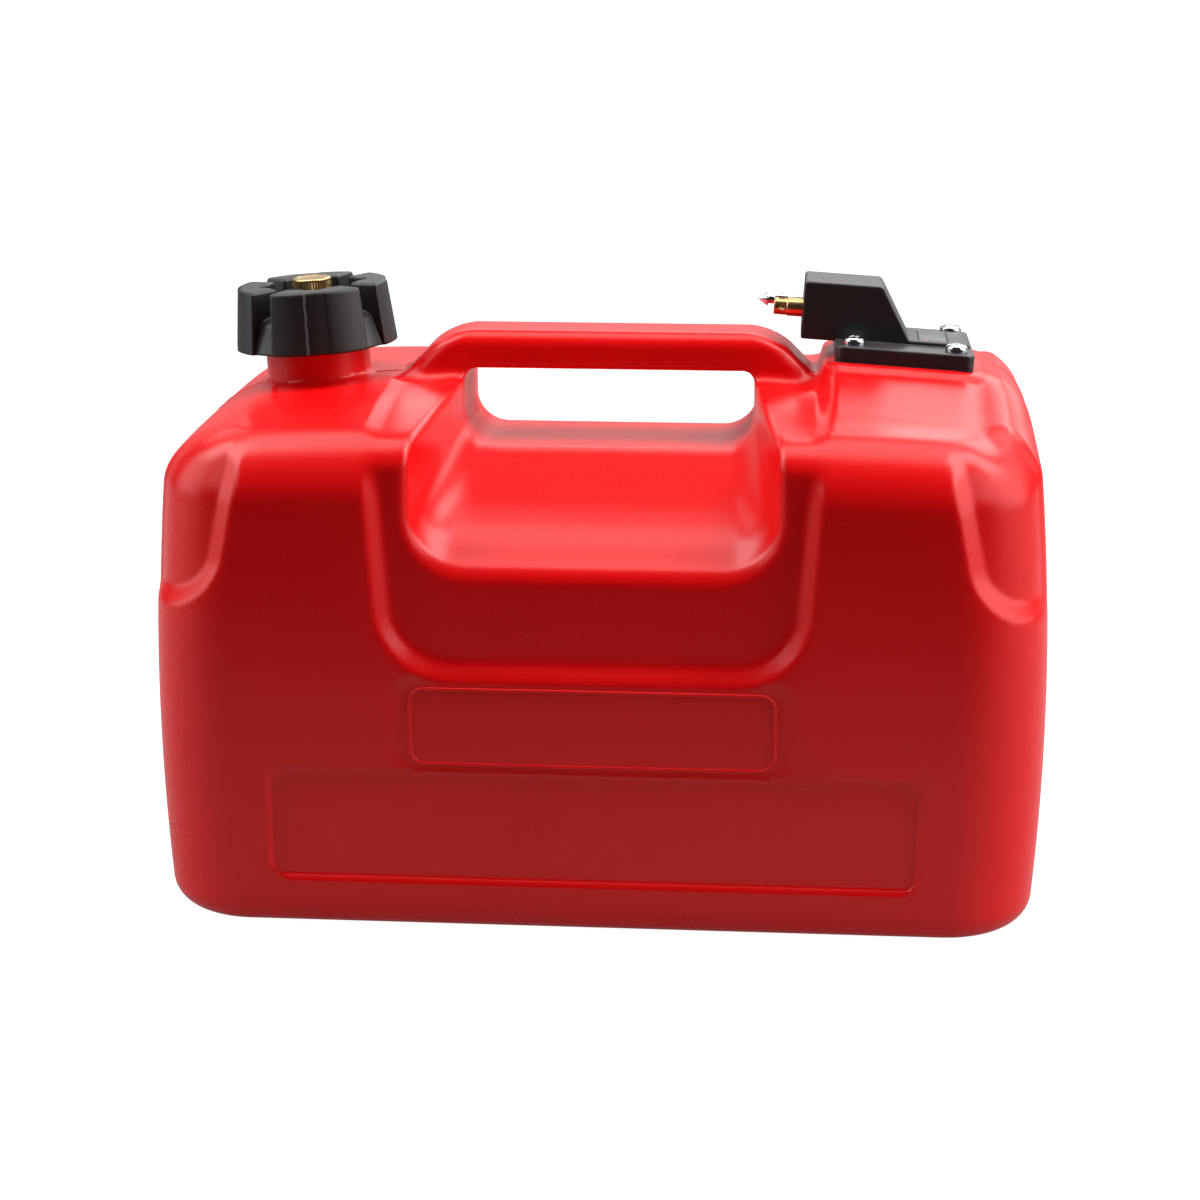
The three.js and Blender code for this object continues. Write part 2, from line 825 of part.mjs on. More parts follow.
function gaugeHousing() {
  const stepReach = plateLength / 2 - stepEndInset;
  const band = rectangle(-stepReach, stepReach, plateFrom, stepTo);
  const step = prismAcross(band, -stepHalfWidth, stepHalfWidth);
  const nose = prismAcross(outline([
    { x: -noseReach, y: noseFrom },
    { x: noseFoot, y: noseFrom },
    { x: noseFoot, y: stepTo },
    { x: -noseCrest, y: noseTo },
    { x: -noseReach, y: noseTo },
  ]), -stepHalfWidth, stepHalfWidth);
  const halfCavity = stepHalfWidth - noseWall;
  const slope = (noseFoot + noseCrest) / (noseTo - stepTo);
  const slopeAt = height => noseFoot - slope * (height - stepTo) - noseWall * Math.hypot(1, slope);
  const cavityTop = noseTo - noseWall;
  const cavity = prismAcross(outline([
    { x: noseWall - noseReach, y: cavityFloor },
    { x: -housingBore, y: cavityFloor },
    { x: -housingBore, y: plateFrom },
    { x: slopeAt(stepTo), y: plateFrom },
    { x: slopeAt(stepTo), y: stepTo },
    { x: slopeAt(cavityTop), y: cavityTop },
    { x: noseWall - noseReach, y: cavityTop },
  ]), -halfCavity, halfCavity);
  const spigotFoot = plateFrom - spigotDepth;
  const spigot = ringDisc(spigotRadius, housingBore, spigotFoot, plateFrom + noseWall, neckSides);
  const halfWindow = windowLength / 2;
  const window = prism(rectangle(
    windowAlong - halfWindow,
    windowAlong + halfWindow,
    -windowHalfWidth,
    windowHalfWidth,
  ), boreTop - clearance, stepTo + overrun);
  const screwHoles = screwPlaces.map(({ x, y }) => solid(
    disc(screwShankRadius + clearance, plateFrom - overrun, plateTo + overrun).translate(x, y, 0),
  ));
  return cut(
    join(solid(gaugePlate(plateFrom, plateTo, clearance)), solid(step), solid(nose), solid(spigot)),
    solid(disc(housingBore, spigotFoot - overrun, boreTop, neckSides)),
    solid(cavity),
    solid(window),
    solid(alongGauge(prongRadius + clearance, noseReach - noseWall - clearance, noseReach + overrun,
      prongAcross, prongLevel)),
    solid(alongGauge(pinRadius + clearance, noseReach - noseWall - clearance, noseReach + overrun,
      pinAcross, pinLevel)),
    ...screwHoles,
  );
}

function gaugeGasket() {
  const holes = screwPlaces.map(({ x, y }) => solid(
    disc(screwShankRadius + clearance, -overrun, overrun).translate(x, y, 0),
  ));
  return cut(
    solid(gaugePlate(clearance, gaugeGasketTo, 0)),
    solid(disc(spigotRadius + clearance, -overrun, overrun, neckSides)),
    ...holes,
  );
}

function flangeScrew() {
  const profile = [
    { radius: 0, height: screwHeadFrom - screwLength },
    { radius: screwShankRadius, height: screwHeadFrom - screwLength },
    { radius: screwShankRadius, height: screwHeadFrom },
  ];
  headShares.forEach(({ radius, height }) => {
    profile.push({ radius: screwHeadRadius * radius, height: screwHeadFrom + screwHeadHeight * height });
  });
  profile.push({ radius: 0, height: screwHeadFrom + screwHeadHeight });
  const top = screwHeadFrom + screwHeadHeight;
  const half = crossLength / 2;
  const thin = crossWidth / 2;
  const slots = [rectangle(-half, half, -thin, thin), rectangle(-thin, thin, -half, half)];
  return cut(
    solid(turned(profile, smallSides)),
    ...slots.map(slot => solid(prism(slot, top - crossDepth, top + overrun))),
  );
}

function screwInsert() {
  return solid(ringDisc(insertRadius, screwShankRadius + clearance, -insertLength, 0));
}

// Inside the hood: the block that joins the pick-up tube to the prong.
const blockLeft = noseReach - noseWall - clearance;
const prongRoot = blockLeft - connectorRoot;

function connectorBlock() {
  const halfBlock = stepHalfWidth - noseWall - clearance;
  const block = prismAcross(
    rectangle(-blockLeft, -blockRight, blockFrom, blockFrom + blockHeight),
    -halfBlock,
    halfBlock,
  );
  const passage = prismAcross(
    rectangle(tubeAlong - tubeBore, tubeAlong + tubeBore, prongLevel - tubeBore, prongLevel + tubeBore),
    prongAcross - tubeBore,
    tubeBore,
  );
  return cut(
    solid(block),
    solid(alongGauge(prongRadius + clearance, prongRoot - clearance, blockLeft + overrun,
      prongAcross, prongLevel)),
    solid(alongGauge(pinRadius + clearance, prongRoot - clearance, blockLeft + overrun, pinAcross, pinLevel)),
    solid(alongGauge(tubeBore, -tubeAlong, blockLeft, prongAcross, prongLevel)),
    solid(passage),
    solid(disc(tubeBore, blockFrom - overrun, prongLevel).translate(tubeAlong, 0, 0)),
  );
}

function fuelProng() {
  const tip = noseReach + prongReach;
  const stepAt = tip - prongTipLength;
  const body = turned([
    { radius: 0, height: prongRoot },
    { radius: prongRadius, height: prongRoot },
    { radius: prongRadius, height: stepAt },
    { radius: prongRadius - prongTipDrop, height: stepAt },
    { radius: prongRadius - prongTipDrop, height: tip },
    { radius: 0, height: tip },
  ], smallSides).rotateY(-halfTurn / 2).translate(0, prongAcross, prongLevel);
  const port = disc(prongPort, -prongRadius - overrun, 0)
    .rotateX(-halfTurn / 2)
    .translate(prongPortInset - tip, prongAcross, prongLevel);
  const bore = alongGauge(prongBore, prongRoot - overrun, tip - prongBore / 2, prongAcross, prongLevel);
  return cut(solid(body), solid(port), solid(bore));
}

function guidePin() {
  const tip = noseReach + pinReach;
  const coneFrom = tip - pinConeLength;
  const grooveAt = coneFrom - pinGrooveLength;
  const body = turned([
    { radius: 0, height: prongRoot },
    { radius: pinRadius, height: prongRoot },
    { radius: pinRadius, height: grooveAt },
    { radius: pinGrooveRadius, height: grooveAt },
    { radius: pinGrooveRadius, height: coneFrom },
    { radius: pinRadius, height: coneFrom },
    { radius: 0, height: tip },
  ], smallSides);
  return solid(body.rotateY(-halfTurn / 2).translate(0, pinAcross, pinLevel));
}

function dialWindow() {
  const half = windowLength / 2 - clearance;
  const across = windowHalfWidth - clearance;
  const pane = rectangle(windowAlong - half, windowAlong + half, -across, across);
  return solid(prism(pane, windowTo - windowThickness, windowTo));
}

// Levels of the float gauge below the housing
const frameFrom = plateFrom - frameDrop;
const frameTo = frameFrom + frameThickness;
const frameRadius = housingBore - clearance;
const dialFrom = plateFrom + dialHeight;
const dialTo = dialFrom + dialThickness;
const pointerFrom = dialTo + pointerLift;
const rodTo = frameTo - clearance;
const rodFrom = rodTo - rodLength;
const footFrom = rodFrom;
const footTo = footFrom + footThickness;
const floatFrom = footTo + clearance;
const floatTo = floatFrom + floatHeight;
const keyFrom = floatTo + clearance;
const stripFrom = footTo + clearance;
const stripTo = frameFrom - clearance;
const tubeTo = blockFrom - clearance;
const tubeFrom = plateFrom - tubeDepth;
const strainerFrom = tubeFrom - strainerHeight + strainerSocket;

function atFloat(geometry, across = 0) {
  return geometry.translate(floatAlong, across, 0);
}

function dialFace() {
  const tubeSlot = rectangle(-frameRadius, tubeAlong, -tubeRadius, tubeRadius);
  return cut(
    solid(disc(dialRadius, dialFrom, dialTo, neckSides)),
    solid(atFloat(disc(spindleRadius + clearance, dialFrom - overrun, dialTo + overrun))),
    solid(disc(tubeRadius + clearance, dialFrom - overrun, dialTo + overrun).translate(tubeAlong, 0, 0)),
    solid(prism(tubeSlot, dialFrom - overrun, dialTo + overrun)),
  );
}

function frameTop() {
  const rodHoles = [-rodSpacing, rodSpacing].map(across => solid(
    atFloat(disc(rodRadius + clearance, frameFrom - overrun, frameTo + overrun), across),
  ));
  return cut(
    solid(disc(frameRadius, frameFrom, frameTo, neckSides)),
    solid(atFloat(disc(bearingRadius + clearance, frameFrom - overrun, frameTo + overrun))),
    solid(disc(tubeRadius + clearance, frameFrom - overrun, frameTo + overrun).translate(tubeAlong, 0, 0)),
    ...rodHoles,
  );
}

function stripBearing() {
  return solid(atFloat(turned([
    { radius: spindleRadius + clearance, height: frameFrom },
    { radius: bearingRadius, height: frameFrom },
    { radius: bearingRadius, height: frameTo + clearance },
    { radius: bearingFlange, height: frameTo + clearance },
    { radius: bearingFlange, height: frameTo + clearance + bearingFlangeThickness },
    { radius: spindleRadius + clearance, height: frameTo + clearance + bearingFlangeThickness },
    { radius: spindleRadius + clearance, height: frameFrom },
  ], smallSides)));
}

function frameFoot() {
  const rodHoles = [-rodSpacing, rodSpacing].map(across => solid(
    atFloat(disc(rodRadius + clearance, footFrom - overrun, footTo + overrun), across),
  ));
  return cut(
    solid(atFloat(disc(footRadius, footFrom, footTo))),
    solid(atFloat(disc(pivotRadius + clearance, footFrom - overrun, footTo + overrun))),
    ...rodHoles,
  );
}

function floatBody() {
  const rodHoles = [-rodSpacing, rodSpacing].map(across => solid(
    atFloat(disc(rodRadius + slideFit, floatFrom - overrun, floatTo + overrun), across),
  ));
  return cut(
    solid(atFloat(disc(floatRadius, floatFrom, floatTo, capSides / 2))),
    solid(atFloat(disc(floatBore, floatFrom - overrun, floatTo + overrun))),
    ...rodHoles,
  );
}

function floatKey() {
  const half = stripWidth / 2 + slideFit;
  const thin = stripThickness / 2 + slideFit;
  return cut(
    solid(atFloat(disc(keyRadius, keyFrom, keyFrom + keyThickness))),
    solid(atFloat(prism(rectangle(-half, half, -thin, thin), keyFrom - overrun, keyFrom + overrun))),
  );
}

// The strip's section turns steadily with height, by the named twist over the float's travel.
function twistStrip() {
  const half = stripWidth / 2;
  const thin = stripThickness / 2;
  const keyMiddle = keyFrom + keyThickness / 2;
  const rings = [];
  for (let step = 0; step <= stripSteps; step += 1) {
    const height = stripFrom + (stripTo - stripFrom) * step / stripSteps;
    const angle = degree(stripTwist) * (height - keyMiddle) / floatTravel;
    const corners = [[half, thin], [-half, thin], [-half, -thin], [half, -thin]];
    rings.push(corners.map(([x, y]) => new THREE.Vector3(x, y, height)
      .applyAxisAngle(new THREE.Vector3(0, 0, 1), angle)));
  }
  return join(
    solid(atFloat(loft(rings))),
    solid(atFloat(disc(pivotRadius, stripFrom - pivotLength, stripFrom + pivotLength))),
    solid(atFloat(disc(spindleRadius, stripTo - pivotLength, pointerFrom - clearance))),
  );
}

function pointer() {
  const half = pointerWidth / 2;
  const arm = prism(rectangle(0, pointerLength, -half, half), pointerFrom, pointerFrom + pointerThickness);
  const hub = disc(pointerHubRadius, pointerFrom, pointerFrom + pointerThickness);
  const emptyTurn = degree(stripTwist) / 2;
  return join(solid(atFloat(arm.rotateZ(emptyTurn))), solid(atFloat(hub)));
}

function pickupStrainer() {
  const socketFloor = tubeFrom - clearance;
  const inside = strainerRadius - strainerWall;
  return cut(
    solid(disc(strainerRadius, strainerFrom, strainerFrom + strainerHeight)),
    solid(disc(tubeRadius + clearance, socketFloor, tubeFrom + strainerHeight)),
    solid(disc(inside, strainerFrom - overrun, socketFloor - strainerWall)),
    solid(disc(tubeBore, strainerFrom - overrun, tubeFrom)),
  ).translate([tubeAlong, 0, 0]);
}

// Materials
const finish = (color, roughness, metalness) => {
  return new THREE.MeshStandardMaterial({ color, roughness, metalness });
};
const redShell = finish(0xd8181c, 0.38, 0);
const blackPlastic = finish(0x1b1a1b, 0.55, 0);
const rubber = finish(0x161616, 0.8, 0);
const yellowBrass = finish(0xc9a24a, 0.3, 1);
const chrome = finish(0xd9dbde, 0.12, 1);
const steel = finish(0xa9abae, 0.35, 1);
const clearPane = finish(0xd3dade, 0.1, 0);
const whitePlastic = finish(0xe9e7e0, 0.6, 0);
const floatFoam = finish(0x23211f, 0.75, 0);
const redPointer = finish(0xc8231d, 0.5, 0);

// Assembly
const tank = new THREE.Group();
tank.add(piece("tank_body", tankBody(), redShell));

const neckGroup = new THREE.Group();
neckGroup.applyMatrix4(neckFrame);
neckGroup.add(
  piece("filler_cap", fillerCap(), blackPlastic),
  piece("cap_gasket", solid(
    ringDisc(capGasketRadius, capGasketRadius - capGasketWidth, gasketFrom, gasketTo, neckSides),
  ), rubber),
  piece("vent_seal", solid(
    ringDisc(ventSealRadius, ventShankRadius + clearance, sealFrom, sealTo),
  ), rubber),
  piece("vent_screw", ventScrew(), yellowBrass),
);
tank.add(neckGroup);

const gaugeGroup = new THREE.Group();
gaugeGroup.applyMatrix4(gaugeFrame);
screwPlaces.forEach(({ x, y }, index) => {
  const screw = piece("flange_screw_" + (index + 1), flangeScrew(), chrome);
  screw.position.set(x, y, 0);
  const insert = piece("screw_insert_" + (index + 1), screwInsert(), yellowBrass);
  insert.position.set(x, y, 0);
  gaugeGroup.add(screw, insert);
});
[-rodSpacing, rodSpacing].forEach((across, index) => {
  const rod = piece("guide_rod_" + (index + 1), solid(disc(rodRadius, rodFrom, rodTo)), steel);
  rod.position.set(floatAlong, across, 0);
  gaugeGroup.add(rod);
});
gaugeGroup.add(
  piece("gauge_housing", gaugeHousing(), blackPlastic),
  piece("gauge_gasket", gaugeGasket(), rubber),
  piece("dial_window", dialWindow(), clearPane),
  piece("dial_face", dialFace(), whitePlastic),
  piece("pointer", pointer(), redPointer),
  piece("twist_strip", twistStrip(), steel),
  piece("strip_bearing", stripBearing(), yellowBrass),
  piece("gauge_frame_top", frameTop(), blackPlastic),
  piece("gauge_frame_foot", frameFoot(), blackPlastic),
  piece("float", floatBody(), floatFoam),
  piece("float_key", floatKey(), yellowBrass),
  piece("pickup_tube", solid(
    ringDisc(tubeRadius, tubeBore, tubeFrom, tubeTo).translate(tubeAlong, 0, 0),
  ), steel),
  piece("pickup_strainer", pickupStrainer(), whitePlastic),
  piece("connector_block", connectorBlock(), blackPlastic),
  piece("fuel_prong", fuelProng(), yellowBrass),
  piece("guide_pin", guidePin(), chrome),
);
tank.add(gaugeGroup);

export default tank;
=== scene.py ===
"""Looks of an outboard fuel tank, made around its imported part.

Forms are worked out in millimetres and set into the meshes in metres. A moulded form is a field: a number for
every point of space, below zero inside the material, above zero outside it, and about the distance to the
surface near it.
"""

import bmesh
import bpy
import numpy as np
from mathutils import Matrix


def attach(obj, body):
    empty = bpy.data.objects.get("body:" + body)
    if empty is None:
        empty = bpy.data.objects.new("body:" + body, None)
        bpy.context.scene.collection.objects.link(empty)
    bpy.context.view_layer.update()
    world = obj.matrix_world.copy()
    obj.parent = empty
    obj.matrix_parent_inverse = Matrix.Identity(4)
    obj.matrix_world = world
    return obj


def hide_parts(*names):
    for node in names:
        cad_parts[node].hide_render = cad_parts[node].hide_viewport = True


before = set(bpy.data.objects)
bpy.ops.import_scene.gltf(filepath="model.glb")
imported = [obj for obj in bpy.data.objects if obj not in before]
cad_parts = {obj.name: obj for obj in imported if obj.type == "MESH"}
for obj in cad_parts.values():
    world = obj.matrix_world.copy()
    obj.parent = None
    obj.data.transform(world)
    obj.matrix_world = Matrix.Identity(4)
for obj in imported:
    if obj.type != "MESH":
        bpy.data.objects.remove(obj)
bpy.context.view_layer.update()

MM = 0.001
TURN = 2 * np.pi


# Numbers and fields

def unit(vectors):
    """Vectors with their lengths made one."""
    return vectors / np.linalg.norm(vectors, axis=-1, keepdims=True)


def eased(x, places, values):
    """Smooth curve through points: cubic pieces whose slope at a point is the mean of its two chords."""
    places = np.asarray(places, float)
    values = np.asarray(values, float)
    chords = np.diff(values) / np.diff(places)
    slopes = np.concatenate([chords[:1], (chords[1:] + chords[:-1]) / 2, chords[-1:]])
    piece = np.clip(np.searchsorted(places, x, side="right") - 1, 0, len(places) - 2)
    width = places[piece + 1] - places[piece]
    t = np.clip((x - places[piece]) / width, 0, 1)
    start = ((2 * t - 3) * t * t + 1) * values[piece] + ((t - 2) * t + 1) * t * slopes[piece] * width
    end = (3 - 2 * t) * t * t * values[piece + 1] + (t - 1) * t * t * slopes[piece + 1] * width
    return start + end


def blend(x, start, end):
    """0 up to start, 1 past end, and between them 3t^2 - 2t^3 of the share t of the way."""
    t = np.clip((x - start) / (end - start), 0, 1)
    return t * t * (3 - 2 * t)


def ramp(x, start, end, soft=0.2):
    """From 0 at start to 1 at end, straight between, with its two bends softened by half-hyperbolas."""
    t = (x - start) / (end - start)
    low = (t + np.hypot(t, soft)) / 2
    left = (1 - low + np.hypot(1 - low, soft)) / 2
    return 1 - left * 2 / (1 + np.hypot(1, soft))


def meet(a, b, radius):
    """What two forms share, with their edge rounded: the length of (a + r, b + r) past zero, less r."""
    corner = np.hypot(np.maximum(a + radius, 0), np.maximum(b + radius, 0))
    return np.minimum(np.maximum(a, b), -radius) + corner


def merge(a, b, radius):
    """Two forms together, with the corner between them filled to a radius."""
    return -meet(-a, -b, radius)


def slab(x, y, half_x, half_y, radius):
    """Distance to a rectangle with rounded corners, centred on zero."""
    return meet(np.abs(x) - half_x, np.abs(y) - half_y, radius)


def leaning(across, up, slope):
    """Distance to a leaning line: across plus slope times up, over the length of (1, slope)."""
    return (across + slope * up) / np.hypot(1, slope)


def planes(low, high, coarse, bands=()):
    """Grid lines from low to high, coarse apart, and closer in each band of (from, to, spacing)."""
    fine = np.linspace(low, high, 4001)
    spacing = np.full_like(fine, coarse)
    for start, end, close in bands:
        within = (fine > start) & (fine < end)
        spacing[within] = np.minimum(spacing[within], close)
    reach = 60
    window = np.full(2 * reach + 1, 1 / (2 * reach + 1))
    spacing = np.convolve(np.pad(spacing, reach, "edge"), window, "valid")
    count = np.concatenate([[0], np.cumsum(np.diff(fine) * 2 / (spacing[1:] + spacing[:-1]))])
    return np.interp(np.linspace(0, count[-1], int(np.ceil(count[-1])) + 1), count, fine)


def slope_of(field, points, reach):
    """The field's slope along x, y and z at points, from its values a short way to either side."""
    parts = []
    for axis in range(3):
        shift = np.zeros(3)
        shift[axis] = reach
        parts.append(field(*(points + shift).T) - field(*(points - shift).T))
    return np.stack(parts, 1) / (2 * reach)


def settle(field, points, reach, rounds=2):
    """Points moved along the field's slope until the field there is zero."""
    for _ in range(rounds):
        slope = slope_of(field, points, reach)
        value = field(*points.T)
        points = points - slope * (value / np.maximum((slope ** 2).sum(1), 0.05))[:, None]
    return points


def skin_of(field, xs, ys, zs, reach=0.05):
    """The surface where a field is zero, as points, four-sided faces and outward directions.

    Each grid cell that the surface crosses gets one point, at the mean of the crossings on the cell's edges.
    Each grid edge that the surface crosses gets one face, which joins the points of the four cells round the
    edge. The points are then evened out twice among their neighbours, and settled on the surface each time.
    """
    values = field(xs[:, None, None], ys[None, :, None], zs[None, None, :])
    inside = values < 0
    lines = (xs, ys, zs)
    corners = [(i, j, k) for i in (0, 1) for j in (0, 1) for k in (0, 1)]
    rows, columns, layers = np.array(inside.shape) - 1
    filled = sum(inside[i:i + rows, j:j + columns, k:k + layers].astype(np.int8) for i, j, k in corners)
    crossed = (filled > 0) & (filled < len(corners))
    cells = np.argwhere(crossed)
    number = np.full(crossed.shape, -1, np.int64)
    number[crossed] = np.arange(len(cells))
    at = {c: values[tuple((cells + c).T)] for c in corners}
    total = np.zeros((len(cells), 3))
    count = np.zeros(len(cells))
    for axis in range(3):
        for low in corners:
            if low[axis]:
                continue
            high = tuple(1 if n == axis else low[n] for n in range(3))
            a, b = at[low], at[high]
            cut = (a < 0) != (b < 0)
            place = np.array(low, float)[None, :].repeat(len(cells), 0)
            place[:, axis] = np.where(cut, a / np.where(cut, a - b, 1), 0)
            total += place * cut[:, None]
            count += cut
    mean = total / count[:, None]
    points = np.stack([
        line[cells[:, n]] + np.diff(line)[cells[:, n]] * mean[:, n] for n, line in enumerate(lines)
    ], 1)
    faces = []
    for axis in range(3):
        order = [axis, (axis + 1) % 3, (axis + 2) % 3]
        side = inside.transpose(order)
        cell = number.transpose(order)
        i, j, k = np.nonzero(side[:-1, 1:-1, 1:-1] != side[1:, 1:-1, 1:-1])
        around = np.stack([cell[i, j, k], cell[i, j + 1, k], cell[i, j + 1, k + 1], cell[i, j, k + 1]], 1)
        turned_in = ~side[i, j + 1, k + 1]
        around[turned_in] = around[turned_in][:, ::-1]
        faces.append(around)
    faces = np.concatenate(faces)
    points = settle(field, points, reach)
    before = np.roll(faces, 1, 1)
    ends = np.concatenate([faces, before]).ravel()
    others = np.concatenate([before, faces]).ravel()
    neighbours = np.bincount(ends, minlength=len(points))
    for _ in range(2):
        mean = np.stack([
            np.bincount(ends, points[others, n], len(points)) for n in range(3)
        ], 1) / neighbours[:, None]
        points = settle(field, points + (mean - points) * 0.5, reach)
    return points, faces, unit(slope_of(field, points, reach))


# Meshes

class Place:
    """A frame that stands at a point and leans by an angle about the part's Y axis."""

    def __init__(self, x, z, lean):
        self.at = np.array([x, 0, z], float)
        c, s = np.cos(np.radians(lean)), np.sin(np.radians(lean))
        self.turn = np.array([[c, 0, s], [0, 1, 0], [-s, 0, c]])

    def out(self, points):
        """Points of this frame, in the part's own frame."""
        return points @ self.turn.T + self.at

    def into(self, x, y, z):
        """The part's own x, y and z, in this frame."""
        dx, dz = x - self.at[0], z - self.at[2]
        return dx * self.turn[0, 0] + dz * self.turn[2, 0], y, dx * self.turn[0, 2] + dz * self.turn[2, 2]


ORIGIN = Place(0, 0, 0)
NECK = Place(-128, 214, -3.5)
GAUGE = Place(124.5, 223.2, 3.6)
SHARP_ANGLE = np.radians(32)
SAME_SPOT = 1e-7


def mesh_piece(name, points, faces, material, body, nodes=(), place=ORIGIN, normals=None):
    """A piece from its points in millimetres and its faces, on a body of the part."""
    mesh = bpy.data.meshes.new(name)
    spots = place.out(np.asarray(points, float)) * MM
    faces = np.asarray(faces)
    mesh.vertices.add(len(spots))
    mesh.vertices.foreach_set("co", spots.astype(np.float32).ravel())
    mesh.loops.add(faces.size)
    mesh.loops.foreach_set("vertex_index", faces.astype(np.int32).ravel())
    mesh.polygons.add(len(faces))
    mesh.polygons.foreach_set("loop_start", np.arange(0, faces.size, faces.shape[1], dtype=np.int32))
    mesh.update(calc_edges=True)
    if normals is None:
        shell = bmesh.new()
        shell.from_mesh(mesh)
        bmesh.ops.remove_doubles(shell, verts=shell.verts, dist=SAME_SPOT)
        bmesh.ops.recalc_face_normals(shell, faces=shell.faces)
        shell.to_mesh(mesh)
        shell.free()
        mesh.shade_smooth()
        mesh.set_sharp_from_angle(angle=SHARP_ANGLE)
    else:
        mesh.shade_smooth()
        mesh.normals_split_custom_set_from_vertices((normals @ place.turn.T).tolist())
    mesh.materials.append(material)
    piece = bpy.data.objects.new(name, mesh)
    bpy.context.scene.collection.objects.link(piece)
    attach(piece, body)
    if nodes:
        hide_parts(*nodes)
    return piece


def moulded(name, field, lines, material, body, nodes=(), place=ORIGIN, keep=None):
    """A piece whose surface is where a field is zero, shaded by the field's own slope."""
    points, faces, normals = skin_of(field, *lines)
    if keep is not None:
        kept = keep(points)
        faces = faces[kept[faces].all(1)]
        used, flat = np.unique(faces, return_inverse=True)
        points, faces, normals = points[used], flat.reshape(faces.shape), normals[used]
    return mesh_piece(name, points, faces, material, body, nodes, place, normals)


def grid_faces(rows, columns, closed_rows=False, closed_columns=True):
    """Four-sided faces of a grid of points counted row by row."""
    i = np.arange(rows if closed_rows else rows - 1)[:, None]
    j = np.arange(columns if closed_columns else columns - 1)[None, :]
    i, j = np.broadcast_arrays(i, j)
    up, right = (i + 1) % rows, (j + 1) % columns
    corners = [i * columns + j, i * columns + right, up * columns + right, up * columns + j]
    return np.stack(corners, -1).reshape(-1, 4)


def rounded_line(corners):
    """A line through (across, along, size) corners, each rounded by a parabola that starts size before it."""
    spots = np.array([c[:2] for c in corners], float)
    t = np.linspace(0, 1, 5)[:, None]
    parts = []
    for n, (_, _, size) in enumerate(corners):
        if not size or n in (0, len(corners) - 1):
            parts.append(spots[n:n + 1])
            continue
        start = spots[n] + unit(spots[n - 1] - spots[n]) * size
        end = spots[n] + unit(spots[n + 1] - spots[n]) * size
        parts.append((1 - t) ** 2 * start + 2 * t * (1 - t) * spots[n] + t ** 2 * end)
    return np.concatenate(parts)


def turned_points(line, columns, ripple=None):
    """A line of (radius, height) carried round the upright axis; ripple gives what each radius gains."""
    angle = np.arange(columns) * TURN / columns
    radius = np.repeat(line[:, :1], columns, 1)
    if ripple is not None:
        radius = radius + ripple(angle[None, :], line[:, 1:2], radius)
    height = np.repeat(line[:, 1:2], columns, 1)
    return np.stack([radius * np.cos(angle), radius * np.sin(angle), height], -1).reshape(-1, 3)


def turned(name, corners, columns, material, body, nodes=(), place=ORIGIN, ripple=None, along=None):
    """A piece turned about the upright axis, or about a line along -X through along = (y, z)."""
    line = rounded_line(corners)
    points = turned_points(line, columns, ripple)
    if along is not None:
        points = np.stack([-points[:, 2], points[:, 1] + along[0], points[:, 0] + along[1]], 1)
    return mesh_piece(name, points, grid_faces(len(line), columns), material, body, nodes, place)


# Materials

def feed(tree, socket, value):
    """An input set to a value, or joined to another node's output."""
    if isinstance(value, bpy.types.NodeSocket):
        tree.links.new(value, socket)
    else:
        socket.default_value = value


def fill(tree, node, **values):
    """A node with its settings and inputs, named by the input with _ for a space."""
    for key, value in values.items():
        name = key.replace("_", " ")
        if name in node.inputs:
            feed(tree, node.inputs[name], value)
        else:
            setattr(node, key, value)
    return node


def add(tree, kind, **values):
    """A new node of a kind, filled with values."""
    return fill(tree, tree.nodes.new(kind), **values)


def effect(name, inputs, outputs, build):
    """A shader node group; inputs are (name, value) pairs, outputs are names, and build wires them up."""
    tree = bpy.data.node_groups.new(name, "ShaderNodeTree")
    for label, value in inputs:
        tree.interface.new_socket(label, in_out="INPUT", socket_type="NodeSocketFloat").default_value = value
    for label in outputs:
        tree.interface.new_socket(label, in_out="OUTPUT", socket_type="NodeSocketFloat")
    source = tree.nodes.new("NodeGroupInput")
    sink = tree.nodes.new("NodeGroupOutput")
    build(tree, source.outputs, sink.inputs)
    return tree


def maths(tree, operation, *values):
    """A Math node on two or three numbers or outputs."""
    node = add(tree, "ShaderNodeMath", operation=operation)
    for n, value in enumerate(values):
        feed(tree, node.inputs[n], value)
    return node.outputs[0]


def clamped(tree, value):
    """A value kept between 0 and 1."""
    return add(tree, "ShaderNodeClamp", Value=value).outputs[0]


def noise(tree, scale, detail, roughness):
    """Noise on the part's own coordinates, about one half; the scale is in waves per metre."""
    where = add(tree, "ShaderNodeTexCoord").outputs["Object"]
    node = add(tree, "ShaderNodeTexNoise", Vector=where, Scale=scale, Detail=detail, Roughness=roughness)
    return node.outputs["Fac"]


def wire_grain(tree, given, out):
    """Fine pits of a mould's face, over slow waves of the wall."""
    pits = noise(tree, given["Grain scale"], 4.0, 0.6)
    waves = noise(tree, given["Wave scale"], 2.0, 0.5)
    fine = maths(tree, "MULTIPLY", pits, given["Grain depth"])
    slow = maths(tree, "MULTIPLY", waves, given["Wave depth"])
    tree.links.new(maths(tree, "ADD", fine, slow), out["Height"])
    tree.links.new(maths(tree, "SUBTRACT", pits, 0.5), out["Speckle"])


def wire_mottle(tree, given, out):
    """Slow change of tone in a moulding, from 0 to 1 about a middle of one half."""
    broad = noise(tree, given["Scale"], 3.0, 0.5)
    sharp = maths(tree, "MULTIPLY_ADD", maths(tree, "SUBTRACT", broad, 0.5), given["Contrast"], 0.5)
    tree.links.new(clamped(tree, sharp), out["Tone"])


